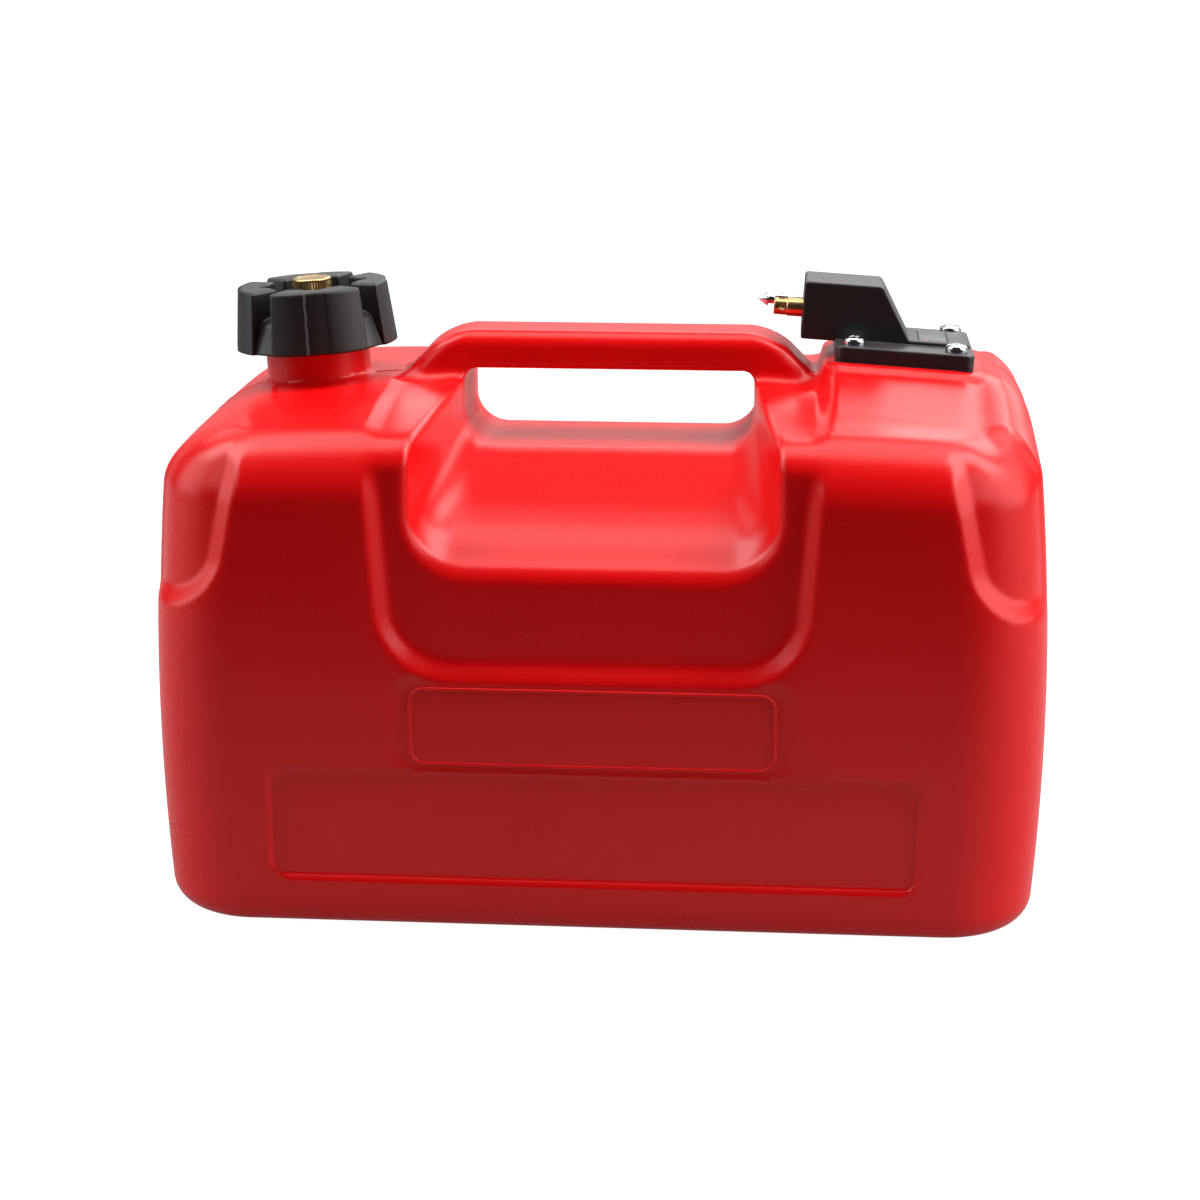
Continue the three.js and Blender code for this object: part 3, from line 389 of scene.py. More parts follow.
def wire_wear(tree, given, out):
    """Rubbed edges: where the surface bends sharply outwards, broken up by noise."""
    bend = add(tree, "ShaderNodeNewGeometry").outputs["Pointiness"]
    broken = maths(tree, "SUBTRACT", noise(tree, given["Scale"], 5.0, 0.65), 0.5)
    past = maths(tree, "SUBTRACT", maths(tree, "MULTIPLY_ADD", broken, 0.12, bend), given["Start"])
    tree.links.new(clamped(tree, maths(tree, "MULTIPLY", past, given["Sharpness"])), out["Worn"])


def wire_dust(tree, given, out):
    """Dust that lies on faces turned up, and fine scattered specks."""
    lift = add(tree, "ShaderNodeNewGeometry").outputs["Normal"]
    up = maths(tree, "MAXIMUM", add(tree, "ShaderNodeSeparateXYZ", Vector=lift).outputs["Z"], 0.0)
    film = maths(tree, "MULTIPLY", up, noise(tree, 160.0, 4.0, 0.6))
    where = add(tree, "ShaderNodeTexCoord").outputs["Object"]
    dots = add(tree, "ShaderNodeTexVoronoi", feature="F1", Vector=where, Scale=given["Speck scale"])
    near = maths(tree, "LESS_THAN", dots.outputs["Distance"], given["Speck size"])
    speck = maths(tree, "MULTIPLY", near, noise(tree, 90.0, 2.0, 0.5))
    film = maths(tree, "MULTIPLY", film, given["Film"])
    tree.links.new(maths(tree, "MAXIMUM", film, speck), out["Dust"])


GRAIN = effect(
    "mould_grain",
    [("Grain scale", 900.0), ("Grain depth", 0.4), ("Wave scale", 40.0), ("Wave depth", 1.0)],
    ["Height", "Speckle"],
    wire_grain,
)
MOTTLE = effect("tone_mottle", [("Scale", 20.0), ("Contrast", 1.6)], ["Tone"], wire_mottle)
WEAR = effect("rubbed_edge", [("Start", 0.56), ("Sharpness", 9.0), ("Scale", 300.0)], ["Worn"], wire_wear)
DUST = effect(
    "settled_dust", [("Speck scale", 260.0), ("Speck size", 0.05), ("Film", 0.3)], ["Dust"], wire_dust,
)
DUST_GREY = (176, 168, 160)
DUST_ROUGHNESS = 0.25


def colour(red, green, blue):
    """A colour from 0 to 255, as linear light: dark tones over 12.92, others by the power of 2.4."""
    share = np.array([red, green, blue]) / 255
    light = np.where(share <= 0.04045, share / 12.92, ((share + 0.055) / 1.055) ** 2.4)
    return (*light.tolist(), 1.0)


def blend_colour(tree, share, low, high):
    """A colour between two, by a share from 0 to 1; each is four numbers or a node's output."""
    node = add(tree, "ShaderNodeMix", data_type="RGBA", Factor=share)
    for name, value in (("A", low), ("B", high)):
        feed(tree, next(s for s in node.inputs if s.name == name and s.type == "RGBA"), value)
    return next(s for s in node.outputs if s.type == "RGBA")


def plain_material(name):
    """A new material with its node tree and its surface shader."""
    material = bpy.data.materials.new(name)
    material.use_nodes = True
    return material, material.node_tree, material.node_tree.nodes["Principled BSDF"]


def finish(name, dark, light, rough, grain, bump, tone=(20.0, 1.6), worn=None, wear=(0.6, 5.0), dust=None,
           **fixed):
    """A finish: two colours mixed by a mottle, a band of roughness, grain as bump, rubbed edges and dust.

    The grain is (scale, depth) of the pits and then of the waves. The bump is (strength, millimetres). The
    tone is (scale, contrast) of the mottle, and the wear (start, sharpness) of the rubbed edges. The dust is
    its film, the scale of its specks and their size.
    """
    material, tree, shader = plain_material(name)
    surface = add(tree, "ShaderNodeGroup", node_tree=GRAIN, Grain_scale=grain[0], Grain_depth=grain[1],
                  Wave_scale=grain[2], Wave_depth=grain[3])
    mottle = add(tree, "ShaderNodeGroup", node_tree=MOTTLE, Scale=tone[0], Contrast=tone[1])
    base = blend_colour(tree, mottle.outputs["Tone"], colour(*dark), colour(*light))
    low, high = rough
    gloss = maths(tree, "MULTIPLY_ADD", surface.outputs["Speckle"], (high - low) * 2, (low + high) / 2)
    gloss = maths(tree, "MULTIPLY_ADD", mottle.outputs["Tone"], (high - low) / 2, gloss)
    if worn is not None:
        edge = add(tree, "ShaderNodeGroup", node_tree=WEAR, Start=wear[0], Sharpness=wear[1])
        base = blend_colour(tree, edge.outputs["Worn"], base, colour(*worn))
    if dust is not None:
        lying = add(tree, "ShaderNodeGroup", node_tree=DUST, Film=dust[0], Speck_scale=dust[1],
                    Speck_size=dust[2])
        base = blend_colour(tree, lying.outputs["Dust"], base, colour(*DUST_GREY))
        gloss = maths(tree, "MULTIPLY_ADD", lying.outputs["Dust"], DUST_ROUGHNESS, gloss)
    relief = add(tree, "ShaderNodeBump", Strength=bump[0], Distance=bump[1] * MM,
                 Height=surface.outputs["Height"])
    fill(tree, shader, Base_Color=base, Roughness=gloss, Normal=relief.outputs["Normal"], **fixed)
    return material


RED = finish(
    "red_shell", (220, 5, 8), (229, 7, 10), rough=(0.24, 0.31), grain=(1400.0, 0.25, 55.0, 1.0),
    bump=(0.35, 0.25), tone=(16.0, 1.4), IOR=1.5, Specular_IOR_Level=0.36,
)
RED_LINE = finish(
    "red_parting_line", (205, 14, 16), (222, 24, 22), rough=(0.32, 0.42), grain=(900.0, 0.5, 130.0, 1.0),
    bump=(0.5, 0.3), tone=(60.0, 2.0), IOR=1.5,
)
# The tank's inside wall: the shell's red plastic made rougher, and darker in colour as painted shade of the
# hollow.
RED_INSIDE_SHADED = finish(
    "red_inside_shaded", (150, 10, 12), (176, 14, 15), rough=(0.45, 0.6), grain=(700.0, 0.6, 30.0, 1.0),
    bump=(0.5, 0.4), tone=(25.0, 1.6), IOR=1.5,
)
CAP_BLACK = finish(
    "cap_black", (20, 18, 19), (28, 25, 26), rough=(0.34, 0.46), grain=(1500.0, 0.6, 120.0, 0.5),
    bump=(0.35, 0.12), worn=(70, 66, 66), dust=(0.05, 420.0, 0.05), IOR=1.5,
)
HOUSING_BLACK = finish(
    "housing_black", (27, 25, 26), (36, 34, 35), rough=(0.30, 0.42), grain=(1300.0, 0.6, 90.0, 0.6),
    bump=(0.35, 0.12), worn=(80, 76, 76), dust=(0.12, 380.0, 0.055), IOR=1.5,
)
INNER_BLACK = finish(
    "inner_black", (26, 25, 26), (34, 33, 34), rough=(0.42, 0.55), grain=(900.0, 0.6, 80.0, 0.6),
    bump=(0.4, 0.15), IOR=1.5,
)
RUBBER = finish(
    "rubber", (20, 20, 21), (30, 29, 30), rough=(0.62, 0.78), grain=(1800.0, 1.0, 100.0, 0.4),
    bump=(0.5, 0.1), dust=(0.2, 500.0, 0.04), IOR=1.5,
)
BRASS = finish(
    "brass", (190, 156, 100), (216, 186, 132), rough=(0.2, 0.34), grain=(1600.0, 0.5, 220.0, 0.6),
    bump=(0.3, 0.06), tone=(120.0, 2.2), worn=(236, 208, 150), wear=(0.58, 6.0), Metallic=1.0,
)
CHROME = finish(
    "chrome", (196, 196, 200), (222, 222, 226), rough=(0.08, 0.18), grain=(1500.0, 0.4, 260.0, 0.5),
    bump=(0.2, 0.04), tone=(150.0, 2.0), Metallic=1.0,
)
STEEL = finish(
    "steel", (150, 152, 156), (176, 178, 181), rough=(0.28, 0.4), grain=(1400.0, 0.6, 200.0, 0.5),
    bump=(0.3, 0.05), tone=(100.0, 2.0), Metallic=1.0,
)
PANE = finish(
    "clear_pane", (196, 199, 200), (212, 215, 216), rough=(0.05, 0.12), grain=(900.0, 0.3, 90.0, 0.5),
    bump=(0.1, 0.05), IOR=1.49, Alpha=0.3,
)
WHITE = finish(
    "white_plastic", (222, 219, 210), (236, 234, 227), rough=(0.42, 0.55), grain=(1200.0, 0.5, 80.0, 0.5),
    bump=(0.3, 0.1), tone=(60.0, 1.8), IOR=1.46,
)
POINTER_RED = finish(
    "red_pointer", (196, 26, 22), (212, 36, 30), rough=(0.35, 0.48), grain=(1200.0, 0.5, 90.0, 0.5),
    bump=(0.3, 0.08), IOR=1.46,
)
FOAM = finish(
    "float_foam", (30, 28, 27), (52, 49, 46), rough=(0.68, 0.85), grain=(2200.0, 1.6, 260.0, 1.2),
    bump=(0.8, 0.25), tone=(420.0, 2.6), IOR=1.45,
)

# Tank shell

HALF_LENGTH, HALF_WIDTH, PLAN_RADIUS = 185.0, 115.0, 38.0
BASE_RADIUS, WALL = 11.0, 3.0
LONGEST_AT, FOOT_DRAW, TOP_LEAN = 85.0, 3.5, 5.0
SHOULDER_RISE, SHOULDER_RUN, SHOULDER_END_RUN = 24.5, 24.0, 35.0
CROWN_EDGE, CROWN_RISE, CROWN_HALF_X, CROWN_HALF_Y = 209.5, 8.5, 150.0, 91.0
ROOF_HEIGHT, ROOF_TILT, ROOF_END_RISE, ROOF_HALF_Y, ROOF_FALL = 222.7, 0.063, 6.0, 31.0, 0.3
CORE_HALF_Y, CORE_DROP, CORE_SHOULDER = 109.5, 1.8, 9.0
RECESS_FOOT, RECESS_HALF, RECESS_RADIUS = 111.5, 83.0, 26.0
CORNER_FOOT, CORNER_EDGE, CORNER_RADIUS, CORNER_INSET = 138.0, 155.6, 20.0, 5.5
GAP_LOW, GAP_HIGH, GAP_HALF = 188.0, 218.5, 62.0
SCOOP_START, SCOOP_DEPTH, SCOOP_SPREAD = 27.0, 39.5, 13.0
SCOOP_PLACES = [0, 0.3, 0.6, 0.77, 0.88, 1, 1.2]
SCOOP_DEPTHS = [0, 0.21, 0.445, 0.63, 0.82, 1, 1.1]
SCOOP_SPREADS = [0, 0.25, 0.5, 0.7, 0.88, 1, 1.05]
HANDLE_TOP, HANDLE_LOW, HANDLE_HALF_X, HANDLE_HALF_Y = 234.5, 196.0, 92.0, 17.0
PAD_HALF_X, PAD_HALF_Y, PAD_DEPTH = 33.5, 34.0, 16.0
NECK_BORE, NECK_OUT, NECK_TOP, NECK_FOOT = 19.5, 22.5, 21.5, -8.0
THREAD_PITCH, THREAD_DEPTH = 4.0, 1.7
HOLES = ((NECK, 20.6, 21.0), (GAUGE, 21.5, 22.0))
PANEL_MIDDLE, PANEL_HALF_X, PANEL_HALF_Z, PANEL_DEPTH = 45.95, 132.6, 23.25, 1.5
LABEL_MIDDLE, LABEL_HALF_X, LABEL_HALF_Z, LABEL_DEPTH = 89.0, 80.0, 20.0, 0.75


def half_length_at(z):
    """Drawn in at the base, longest at 85 high, and leaning in above by the square of the height."""
    low = np.maximum(LONGEST_AT - z, 0) / LONGEST_AT
    high = np.clip((z - LONGEST_AT) / 100, 0, 1.2)
    return HALF_LENGTH - FOOT_DRAW * low ** 2 - TOP_LEAN * high ** 2


def crown_at(x, y):
    """Height of the top: a dome, and above it a roof at the gauge's end.

    The dome falls with the 1.7th power of a four-cornered distance. The roof tilts along the tank and rises
    past the gauge. Beside the gauge it falls towards both faces, in the end by 0.3 for each step outwards.
    """
    across = ((np.abs(x) / CROWN_HALF_X) ** 4 + (np.abs(y) / CROWN_HALF_Y) ** 4) ** 0.25
    dome = CROWN_EDGE + CROWN_RISE * (1 - across ** 1.7)
    beside = np.maximum(np.abs(y) - ROOF_HALF_Y, 0)
    roof = ROOF_HEIGHT - ROOF_TILT * (x - GAUGE.at[0]) + ROOF_END_RISE * blend(x, 152, 167)
    above = roof - ROOF_FALL * beside ** 2 / (beside + 8) - dome
    above = (above + np.hypot(above, 2.5)) / 2 - 0.6
    return dome + above * blend(x, 88, 97) * blend(np.abs(y), 98, 74)


def outer_form(x, y, z, end_inset=0.0, face_inset=0.0):
    """Upright sides with round corners, an oval shoulder up to the crown, and a rounded foot."""
    p = np.abs(x) - half_length_at(z) + end_inset + PLAN_RADIUS
    q = np.abs(y) - HALF_WIDTH + face_inset + PLAN_RADIUS
    across = np.hypot(np.maximum(p, 0), np.maximum(q, 0))
    side = np.minimum(np.maximum(p, q), 0) + across - PLAN_RADIUS
    round_corner = np.maximum(p, 0) ** 2 / np.maximum(across ** 2, 1e-9)
    toward_end = np.where(q > 0, round_corner, np.where(p > q, 1.0, 0.0))
    run = SHOULDER_RUN + (SHOULDER_END_RUN - SHOULDER_RUN) * toward_end
    top = z - crown_at(x, y)
    u = np.maximum(side / run + 1, 0)
    v = np.maximum(top / SHOULDER_RISE + 1, 0)
    size = (u * run + v * SHOULDER_RISE) / np.maximum(u + v, 1e-9)
    form = np.where(u + v > 0, (np.hypot(u, v) - 1) * size, np.maximum(side, top))
    return meet(form, -z, BASE_RADIUS)


def core_form(x, y, z):
    """The narrower form behind the sunk faces, with tighter shoulders and a crown a little lower."""
    side = slab(x, y, half_length_at(z) - 1, CORE_HALF_Y, PLAN_RADIUS)
    return meet(side, z - crown_at(x, y) + CORE_DROP, CORE_SHOULDER)


def handle_recess(x, z):
    """Distance past the sunk face round the handle: slanted sides, a level foot and rounded corners."""
    up = z - RECESS_FOOT
    return meet(leaning(np.abs(x) - RECESS_HALF, up, -0.0736), -up, RECESS_RADIUS)


def corner_recess(x, z):
    """Distance past the sunk face at a corner: a slanted side and a level foot, rounded between."""
    return meet(leaning(CORNER_EDGE - np.abs(x), z - 143, -0.218), CORNER_FOOT - z, CORNER_RADIUS)


def scoop_form(x, y, z):
    """A round-cornered trough below the finger gap, wider and deeper towards the faces."""
    out = (np.abs(y) - SCOOP_START) / (HALF_WIDTH - SCOOP_START)
    floor = GAP_LOW - SCOOP_DEPTH * eased(out, SCOOP_PLACES, SCOOP_DEPTHS)
    spread = eased(out, SCOOP_PLACES, SCOOP_SPREADS)
    return meet(np.abs(x) - GAP_HALF - SCOOP_SPREAD * spread, floor - z, 14 + 10 * spread)


def finger_gap(x, z):
    """The opening for the fingers, with wider corners below than above."""
    middle = (GAP_LOW + GAP_HIGH) / 2
    return slab(x, z - middle, GAP_HALF, GAP_HIGH - middle, np.where(z < middle, 14.0, 5.0))


def handle_form(x, y, z):
    """A bar whose ends slant by half a right angle, rounded along its edges."""
    slant = leaning(np.abs(x) - 88, z - 216.5, 1.0)
    outline = meet(meet(slant, z - HANDLE_TOP, 8.0), np.abs(x) - HANDLE_HALF_X, 4.0)
    return meet(meet(outline, HANDLE_LOW - z, 1.0), np.abs(y) - HANDLE_HALF_Y, 7.0)


def pad_form(x, y, z):
    """A flat seat for the gauge whose flanks spread down into the crown, most at the tank's end."""
    x, y, z = GAUGE.into(x, y, z)
    spread = np.clip(-z / 22, 0, 0.8)
    flank = slab(x - 0.5 - 3 * spread, y, PAD_HALF_X + 8 * spread, PAD_HALF_Y + 7 * spread, 10 + 4 * spread)
    return meet(meet(flank, z, 2.0), -PAD_DEPTH - z, 1.0)


def body_form(x, y, z):
    """The tank as if it were solid, up to its crown and the gauge's pad."""
    out = np.abs(y)
    outer = outer_form(x, y, z)
    core = meet(outer, core_form(x, y, z), 2.5)
    inset = outer_form(x, y, z, 1.0, CORNER_INSET)
    sunk = ramp(handle_recess(x, z), 3.1, -3.1) * blend(out, 14, 18)
    corner = ramp(corner_recess(x, z), 3.0, -3.0) * blend(out, 76, 84) * blend(z, 212, 188)
    form = outer + (core - outer) * sunk + (inset - outer) * corner
    form = meet(form, -scoop_form(x, y, z), 4.0)
    form = merge(form, handle_form(x, y, z), 1.6 + 6 * blend(out, 10, 18))
    form = meet(form, -finger_gap(x, z), 2.6)
    return merge(form, pad_form(x, y, z), 5.0)


def shell_form(x, y, z):
    """The whole outside of the tank, with the foot of its neck, its two holes and its sunk panels."""
    nx, ny, nz = NECK.into(x, y, z)
    foot = np.maximum(meet(np.hypot(nx, ny) - 22.3, nz - 3.6, 0.3), -20 - nz)
    form = merge(body_form(x, y, z), foot, 3.2)
    for place, radius, _ in HOLES:
        hx, hy, hz = place.into(x, y, z)
        form = np.maximum(form, -np.maximum(np.hypot(hx, hy) - radius, -30 - hz))
    edge = (1.7 + 1.3 * blend(z, 30, 50)) / 2
    panel = PANEL_DEPTH * blend(slab(x, z - PANEL_MIDDLE, PANEL_HALF_X, PANEL_HALF_Z, 6.0), edge, -edge)
    label = LABEL_DEPTH * blend(slab(x, z - LABEL_MIDDLE, LABEL_HALF_X, LABEL_HALF_Z, 9.0), 3.5, -3.5)
    return form + np.maximum(panel, label * (y < 0)) * blend(np.abs(y), 100, 105)


def above_holes(points):
    """Points that aren't on the blind ends of the neck's and the gauge's holes."""
    kept = np.ones(len(points), bool)
    for place, _, within in HOLES:
        x, y, z = place.into(*points.T)
        kept &= (np.hypot(x, y) >= within) | (z >= -9)
    return kept


moulded("tank_shell", shell_form, (
    planes(-188.5, 188.5, 3.0, [(-186, -138, 2.0), (-116, -58, 1.7), (58, 116, 1.7), (138, 186, 2.0)]),
    planes(-118.5, 118.5, 2.9, [(-116, -98, 1.7), (-30, -12, 1.6), (12, 30, 1.6), (98, 116, 1.7)]),
    planes(-3.5, 238.5, 2.7, [
        (0, 12, 2.0), (20, 26, 1.6), (66, 72, 1.6), (108, 118, 2.0), (140, 160, 2.2), (184, 236, 1.7),
    ]),
), RED, "tank", ["tank_body"], keep=above_holes)


def thread(angle, height, radius):
    """Ridge of a screw thread: it rises by the pitch for each turn, between the thread's two ends."""
    phase = (height - 11) / THREAD_PITCH - angle / TURN
    near = np.abs(phase - np.round(phase)) * THREAD_PITCH
    ends = blend(height, 9.6, 11.2) * blend(height, 20.6, 19.0)
    return np.where(radius > 22, THREAD_DEPTH * blend(near, 1.25, 0.5) * ends, 0)


neck_line = rounded_line([
    (NECK_BORE, NECK_FOOT, 0), (NECK_BORE, NECK_TOP, 0.9), (NECK_OUT, NECK_TOP, 0.9),
    (NECK_OUT, NECK_FOOT, 0), (NECK_BORE, NECK_FOOT, 0),
])
neck_wall = np.stack([np.full(70, NECK_OUT), np.linspace(20.4, NECK_FOOT, 70)], 1)
neck_rows = np.concatenate([neck_line[:-2], neck_wall, neck_line[-1:]])
mesh_piece("filler_neck", turned_points(neck_rows, 144, thread), grid_faces(len(neck_rows), 144), RED, "tank",
           ["tank_body"], NECK)

# The tank's inside as it is seen down the neck: rays from the neck's foot, each as long as it takes to reach
# the wall.
fall = np.linspace(0.5, 1.0, 72) * np.pi
rays = turned_points(np.stack([np.sin(fall), np.cos(fall)], 1), 96)
start = NECK.out(np.array([[0.0, 0.0, -9.0]]))
length = np.full(len(rays), 2.0)
for _ in range(60):
    value = body_form(*(start + rays * length[:, None]).T) + WALL
    length = np.clip(length - value * 0.7, 2.0, 420.0)
rim = NECK.out(turned_points(np.array([[19.7, -7.5]]), 96))
inside_points = np.concatenate([rim, start + rays * length[:, None]])
mesh_piece("tank_inside", inside_points, grid_faces(len(fall) + 1, 96), RED_INSIDE_SHADED, "tank",
           ["tank_body"])

# Filler cap and vent screw

CAP_FOOT, CAP_TOP, CAP_RADIUS, CAP_TURN = 11.7, 38.3, 35.3, np.radians(12.7)
GRIP_HALF, GRIP_INSIDE, GROOVE_HALF, GROOVE_DEPTH = np.radians(36.5), 19.5, np.radians(8.6), 1.1
HOLLOW_AT, HOLLOW_RADIUS = 18.2, 4.9
CUP_TOP, CUP_RADIUS, BOSS_TOP, BOSS_RADIUS = 26.1, 33.6, 30.7, 11.0
CAP_BORE, CAP_BORE_TOP, SHANK_HOLE = 24.6, 23.5, 4.3
KNURLS, KNURL_DEPTH = 44, 0.35


def cap_form(x, y, z):
    """A cup with four grips standing on its wall, each grooved outside and hollowed inside, hollow below."""
    radius = np.hypot(x, y)
    angle = (np.arctan2(x, -y) - CAP_TURN + TURN / 8) % (TURN / 4) - TURN / 8
    past_edge = radius * np.sin(np.abs(angle) - GRIP_HALF)
    groove = GROOVE_DEPTH * blend(radius * (GROOVE_HALF - np.abs(angle)), -0.5, 0.4)
    wall = leaning(radius - CAP_RADIUS + groove, z - CAP_FOOT, 0.105)
    hollow = np.hypot(radius * np.cos(angle) - HOLLOW_AT, radius * np.sin(angle)) - HOLLOW_RADIUS
    grip = meet(meet(wall, past_edge, 1.1), z - CAP_TOP, 1.3)
    grip = meet(meet(grip, GRIP_INSIDE - radius, 1.0), -hollow, 0.9)
    cup = meet(radius - CUP_RADIUS + 0.342 * (z - CAP_FOOT), z - CUP_TOP, 3.2)
    boss = meet(radius - BOSS_RADIUS, z - BOSS_TOP, 1.0)
    form = merge(merge(cup, grip, 0.9), boss, 0.8)
    form = meet(form, CAP_FOOT - z, 0.9)
    bore = meet(radius - CAP_BORE, z - CAP_BORE_TOP, 0.8)
    return meet(meet(form, -bore, 0.5), SHANK_HOLE - radius, 0.3)


cap_line = planes(-36.4, 36.4, 0.72)
moulded("cap_grip", cap_form, (cap_line, cap_line, planes(10.6, 39.4, 0.66)), CAP_BLACK, "cap",
        ["filler_cap"], NECK)


def knurl(angle, height, radius):
    """Straight ridges round the screw's head, fading at its rims."""
    ridge = KNURL_DEPTH * (np.abs((angle * KNURLS / TURN) % 1 - 0.5) * 2 - 1)
    band = blend(height, 33.2, 33.7) * blend(height, 40.0, 39.5)
    return np.where(radius > 8.2, ridge * band, 0)


turned("vent_knob", [
    (0, 19.6, 0), (2.4, 19.6, 0.4), (4, 21.6, 0.6), (4, 32.5, 0), (7.4, 32.5, 0.3), (8.4, 33.1, 0.3),
    *((8.4, height, 0) for height in np.linspace(33.3, 39.9, 12)),
    (8.4, 40.1, 0.3), (7.6, 40.7, 0.4), (6.4, 40.7, 0.2), (6.1, 40.45, 0.2), (1.2, 40.45, 0.3), (0, 40.5, 0),
], 8 * KNURLS, BRASS, "vent", ["vent_screw"], NECK, knurl)

# Gauge housing

PLATE_HALF_X, PLATE_HALF_Y, PLATE_TOP, PLATE_FOOT = 29.0, 31.0, 7.8, 1.75
BAND_HALF_X, BAND_TOP = 27.5, 9.7
HOOD_TOP, HOOD_TIP, HOOD_HALF_Y, HOOD_WALL = 31.6, 43.9, 15.5, 2.5
HOOD_SLOPE = 12.9 / 21.9
PRONG_Y, PRONG_Z, PIN_Y, PIN_Z = -7.0, 19.0, 8.0, 19.4
SCREW_X, SCREW_Y, HEAD_RADIUS, HEAD_TOP, HEAD_FOOT = 21.4, 24.0, 4.7, 11.35, 7.85
SCREW_TURNS = ((-1, -1, 0.35), (1, -1, 1.1), (1, 1, 0.8), (-1, 1, 0.1))


def housing_form(x, y, z):
    """A flange plate, a raised band along it and a hood with a slanted back, hollow and with its openings."""
    plate = meet(slab(x, y, PLATE_HALF_X, PLATE_HALF_Y, 4.0), z - PLATE_TOP, 0.9)
    slant = leaning(x - 1.9, z - BAND_TOP, HOOD_SLOPE)
    hood = meet(meet(meet(slant, z - HOOD_TOP, 1.2), -HOOD_TIP - x, 1.4), 7.0 - z, 0.8)
    band = meet(np.abs(x) - BAND_HALF_X, z - BAND_TOP, 0.8)
    form = merge(plate, meet(merge(hood, band, 0.6), np.abs(y) - HOOD_HALF_Y, 0.9), 0.6)
    form = meet(form, PLATE_FOOT - z, 0.3)
    upper = np.maximum(np.maximum(slant, z - HOOD_TOP), -HOOD_TIP - x) + HOOD_WALL
    upper = np.maximum(upper, 9.5 - z)
    lower = np.maximum(np.maximum(x + 1.0, -18.4 - x), np.maximum(z - 12, -z))
    hollow = np.maximum(np.minimum(upper, lower), np.abs(y) - HOOD_HALF_Y + HOOD_WALL)
    bore = np.maximum(np.hypot(x, y) - 18.4, z - 7.2)
    window = np.maximum(slab(x - 12.3, y, 6.2, 12.4, 0.6), 6.9 - z)
    prong = np.hypot(y - PRONG_Y, z - PRONG_Z) - 4.05
    pin = np.hypot(y - PIN_Y, z - PIN_Z) - 3.15
    sockets = np.maximum(np.minimum(prong, pin), np.abs(x + 43) - 3)
    form = meet(form, -window, 0.5)
    return np.maximum(form, -np.minimum(np.minimum(hollow, bore), sockets))


moulded("gauge_hood", housing_form, (
    planes(-45.2, 30.3, 0.74, [(-45, -41, 0.6)]), planes(-32.3, 32.3, 0.74), planes(0.9, 32.8, 0.66),
), HOUSING_BLACK, "tank", ["gauge_housing"], GAUGE)


def screw_form(x, y, z):
    """A pan head that falls with the square of its radius, on a shank, with a tapered cross cut into it."""
    radius = np.hypot(x, y)
    head = meet(radius - HEAD_RADIUS, z - HEAD_TOP + 0.0256 * radius ** 2, 1.5)
    head = meet(head, HEAD_FOOT - z, 0.2)
    shank = np.maximum(radius - 2.4, np.maximum(z - 9, -z))
    depth = np.clip((z - 9.6) / 1.7, 0, 1.2)
    arm = 1.2 + 1.1 * depth
    half = 0.35 + 0.25 * depth
    cross = np.minimum(
        np.maximum(np.abs(x) - arm, np.abs(y) - half), np.maximum(np.abs(y) - arm, np.abs(x) - half),
    )
    return meet(np.minimum(head, shank), -np.maximum(cross, 9.6 - z), 0.12)


screw_line = planes(-5.1, 5.1, 0.26)
screw_points, screw_faces, screw_normals = skin_of(
    screw_form, screw_line, screw_line, planes(-0.7, 12.0, 0.26), 0.02,
)
for number, (side_x, side_y, turn) in enumerate(SCREW_TURNS, 1):
    c, s = np.cos(turn), np.sin(turn)
    spin = np.array([[c, -s, 0], [s, c, 0], [0, 0, 1]])
    spots = screw_points @ spin.T + [side_x * SCREW_X, side_y * SCREW_Y, 0]
    mesh_piece(f"pan_screw_{number}", spots, screw_faces, CHROME, "tank",
               [f"flange_screw_{number}"], GAUGE, screw_normals @ spin.T)


def prong_form(x, y, z):
    """A tube along -X with a slimmer end, a round port across it and a hollow from the tip."""
    radius = np.hypot(y - PRONG_Y, z - PRONG_Z)
    size = 3.9 - 0.3 * blend(x, -50.4, -50.7)
    form = meet(meet(radius - size, -56.2 - x, 0.5), x + 35.6, 0.3)
    port = np.maximum(np.hypot(x + 52.8, y - PRONG_Y) - 1.5, PRONG_Z - z)
    front = np.maximum(np.hypot(x + 52.8, z - PRONG_Z) - 1.25, y - PRONG_Y)
    bore = np.maximum(radius - 2.2, np.maximum(x + 50, -55.1 - x))
    return meet(form, -np.minimum(np.minimum(port, front), bore), 0.2)


moulded("fuel_prong_brass", prong_form, (
    planes(-57.0, -34.8, 0.3), planes(-11.6, -2.4, 0.28), planes(14.4, 23.6, 0.28),
), BRASS, "tank", ["fuel_prong"], GAUGE)
turned("guide_pin_chrome", [
    (0, 35.6, 0), (3, 35.6, 0.3), (3, 56.2, 0.25), (2, 56.3, 0.2), (2, 58.6, 0.2), (3, 58.8, 0.25),
    (3, 59.2, 0.3), (0.45, 63.0, 0.5), (0, 63.2, 0),
], 64, CHROME, "tank", ["guide_pin"], GAUGE, along=(PIN_Y, PIN_Z))

# Fine relief on the shell

FRAME_HALF_X, FRAME_HALF_Z, FRAME_RADIUS, FRAME_Y, FRAME_POINTS = 68.0, 10.0, 6.0, -114.27, 160


def ridge(name, path, out, half_width, height, foot, material, size=None):
    """A ridge on the shell along a path, with a half oval as its section and its foot sunk a little.

    Out gives the direction that counts as outwards at each point. A ridge that has a size for each point is
    open, and one without joins its own start.
    """
    ahead = np.roll(path, -1, 0) - np.roll(path, 1, 0) if size is None else np.gradient(path, axis=0)
    side = unit(np.cross(ahead, out))
    arc = np.linspace(0, np.pi, 7)[None, :, None]
    section = half_width * np.cos(arc) * side[:, None] + (height * np.sin(arc) - foot) * out[:, None]
    if size is not None:
        section = section * size[:, None, None]
    faces = grid_faces(len(path), arc.size, closed_rows=size is None)
    mesh_piece(name, (path[:, None] + section).reshape(-1, 3), faces, material, "tank")


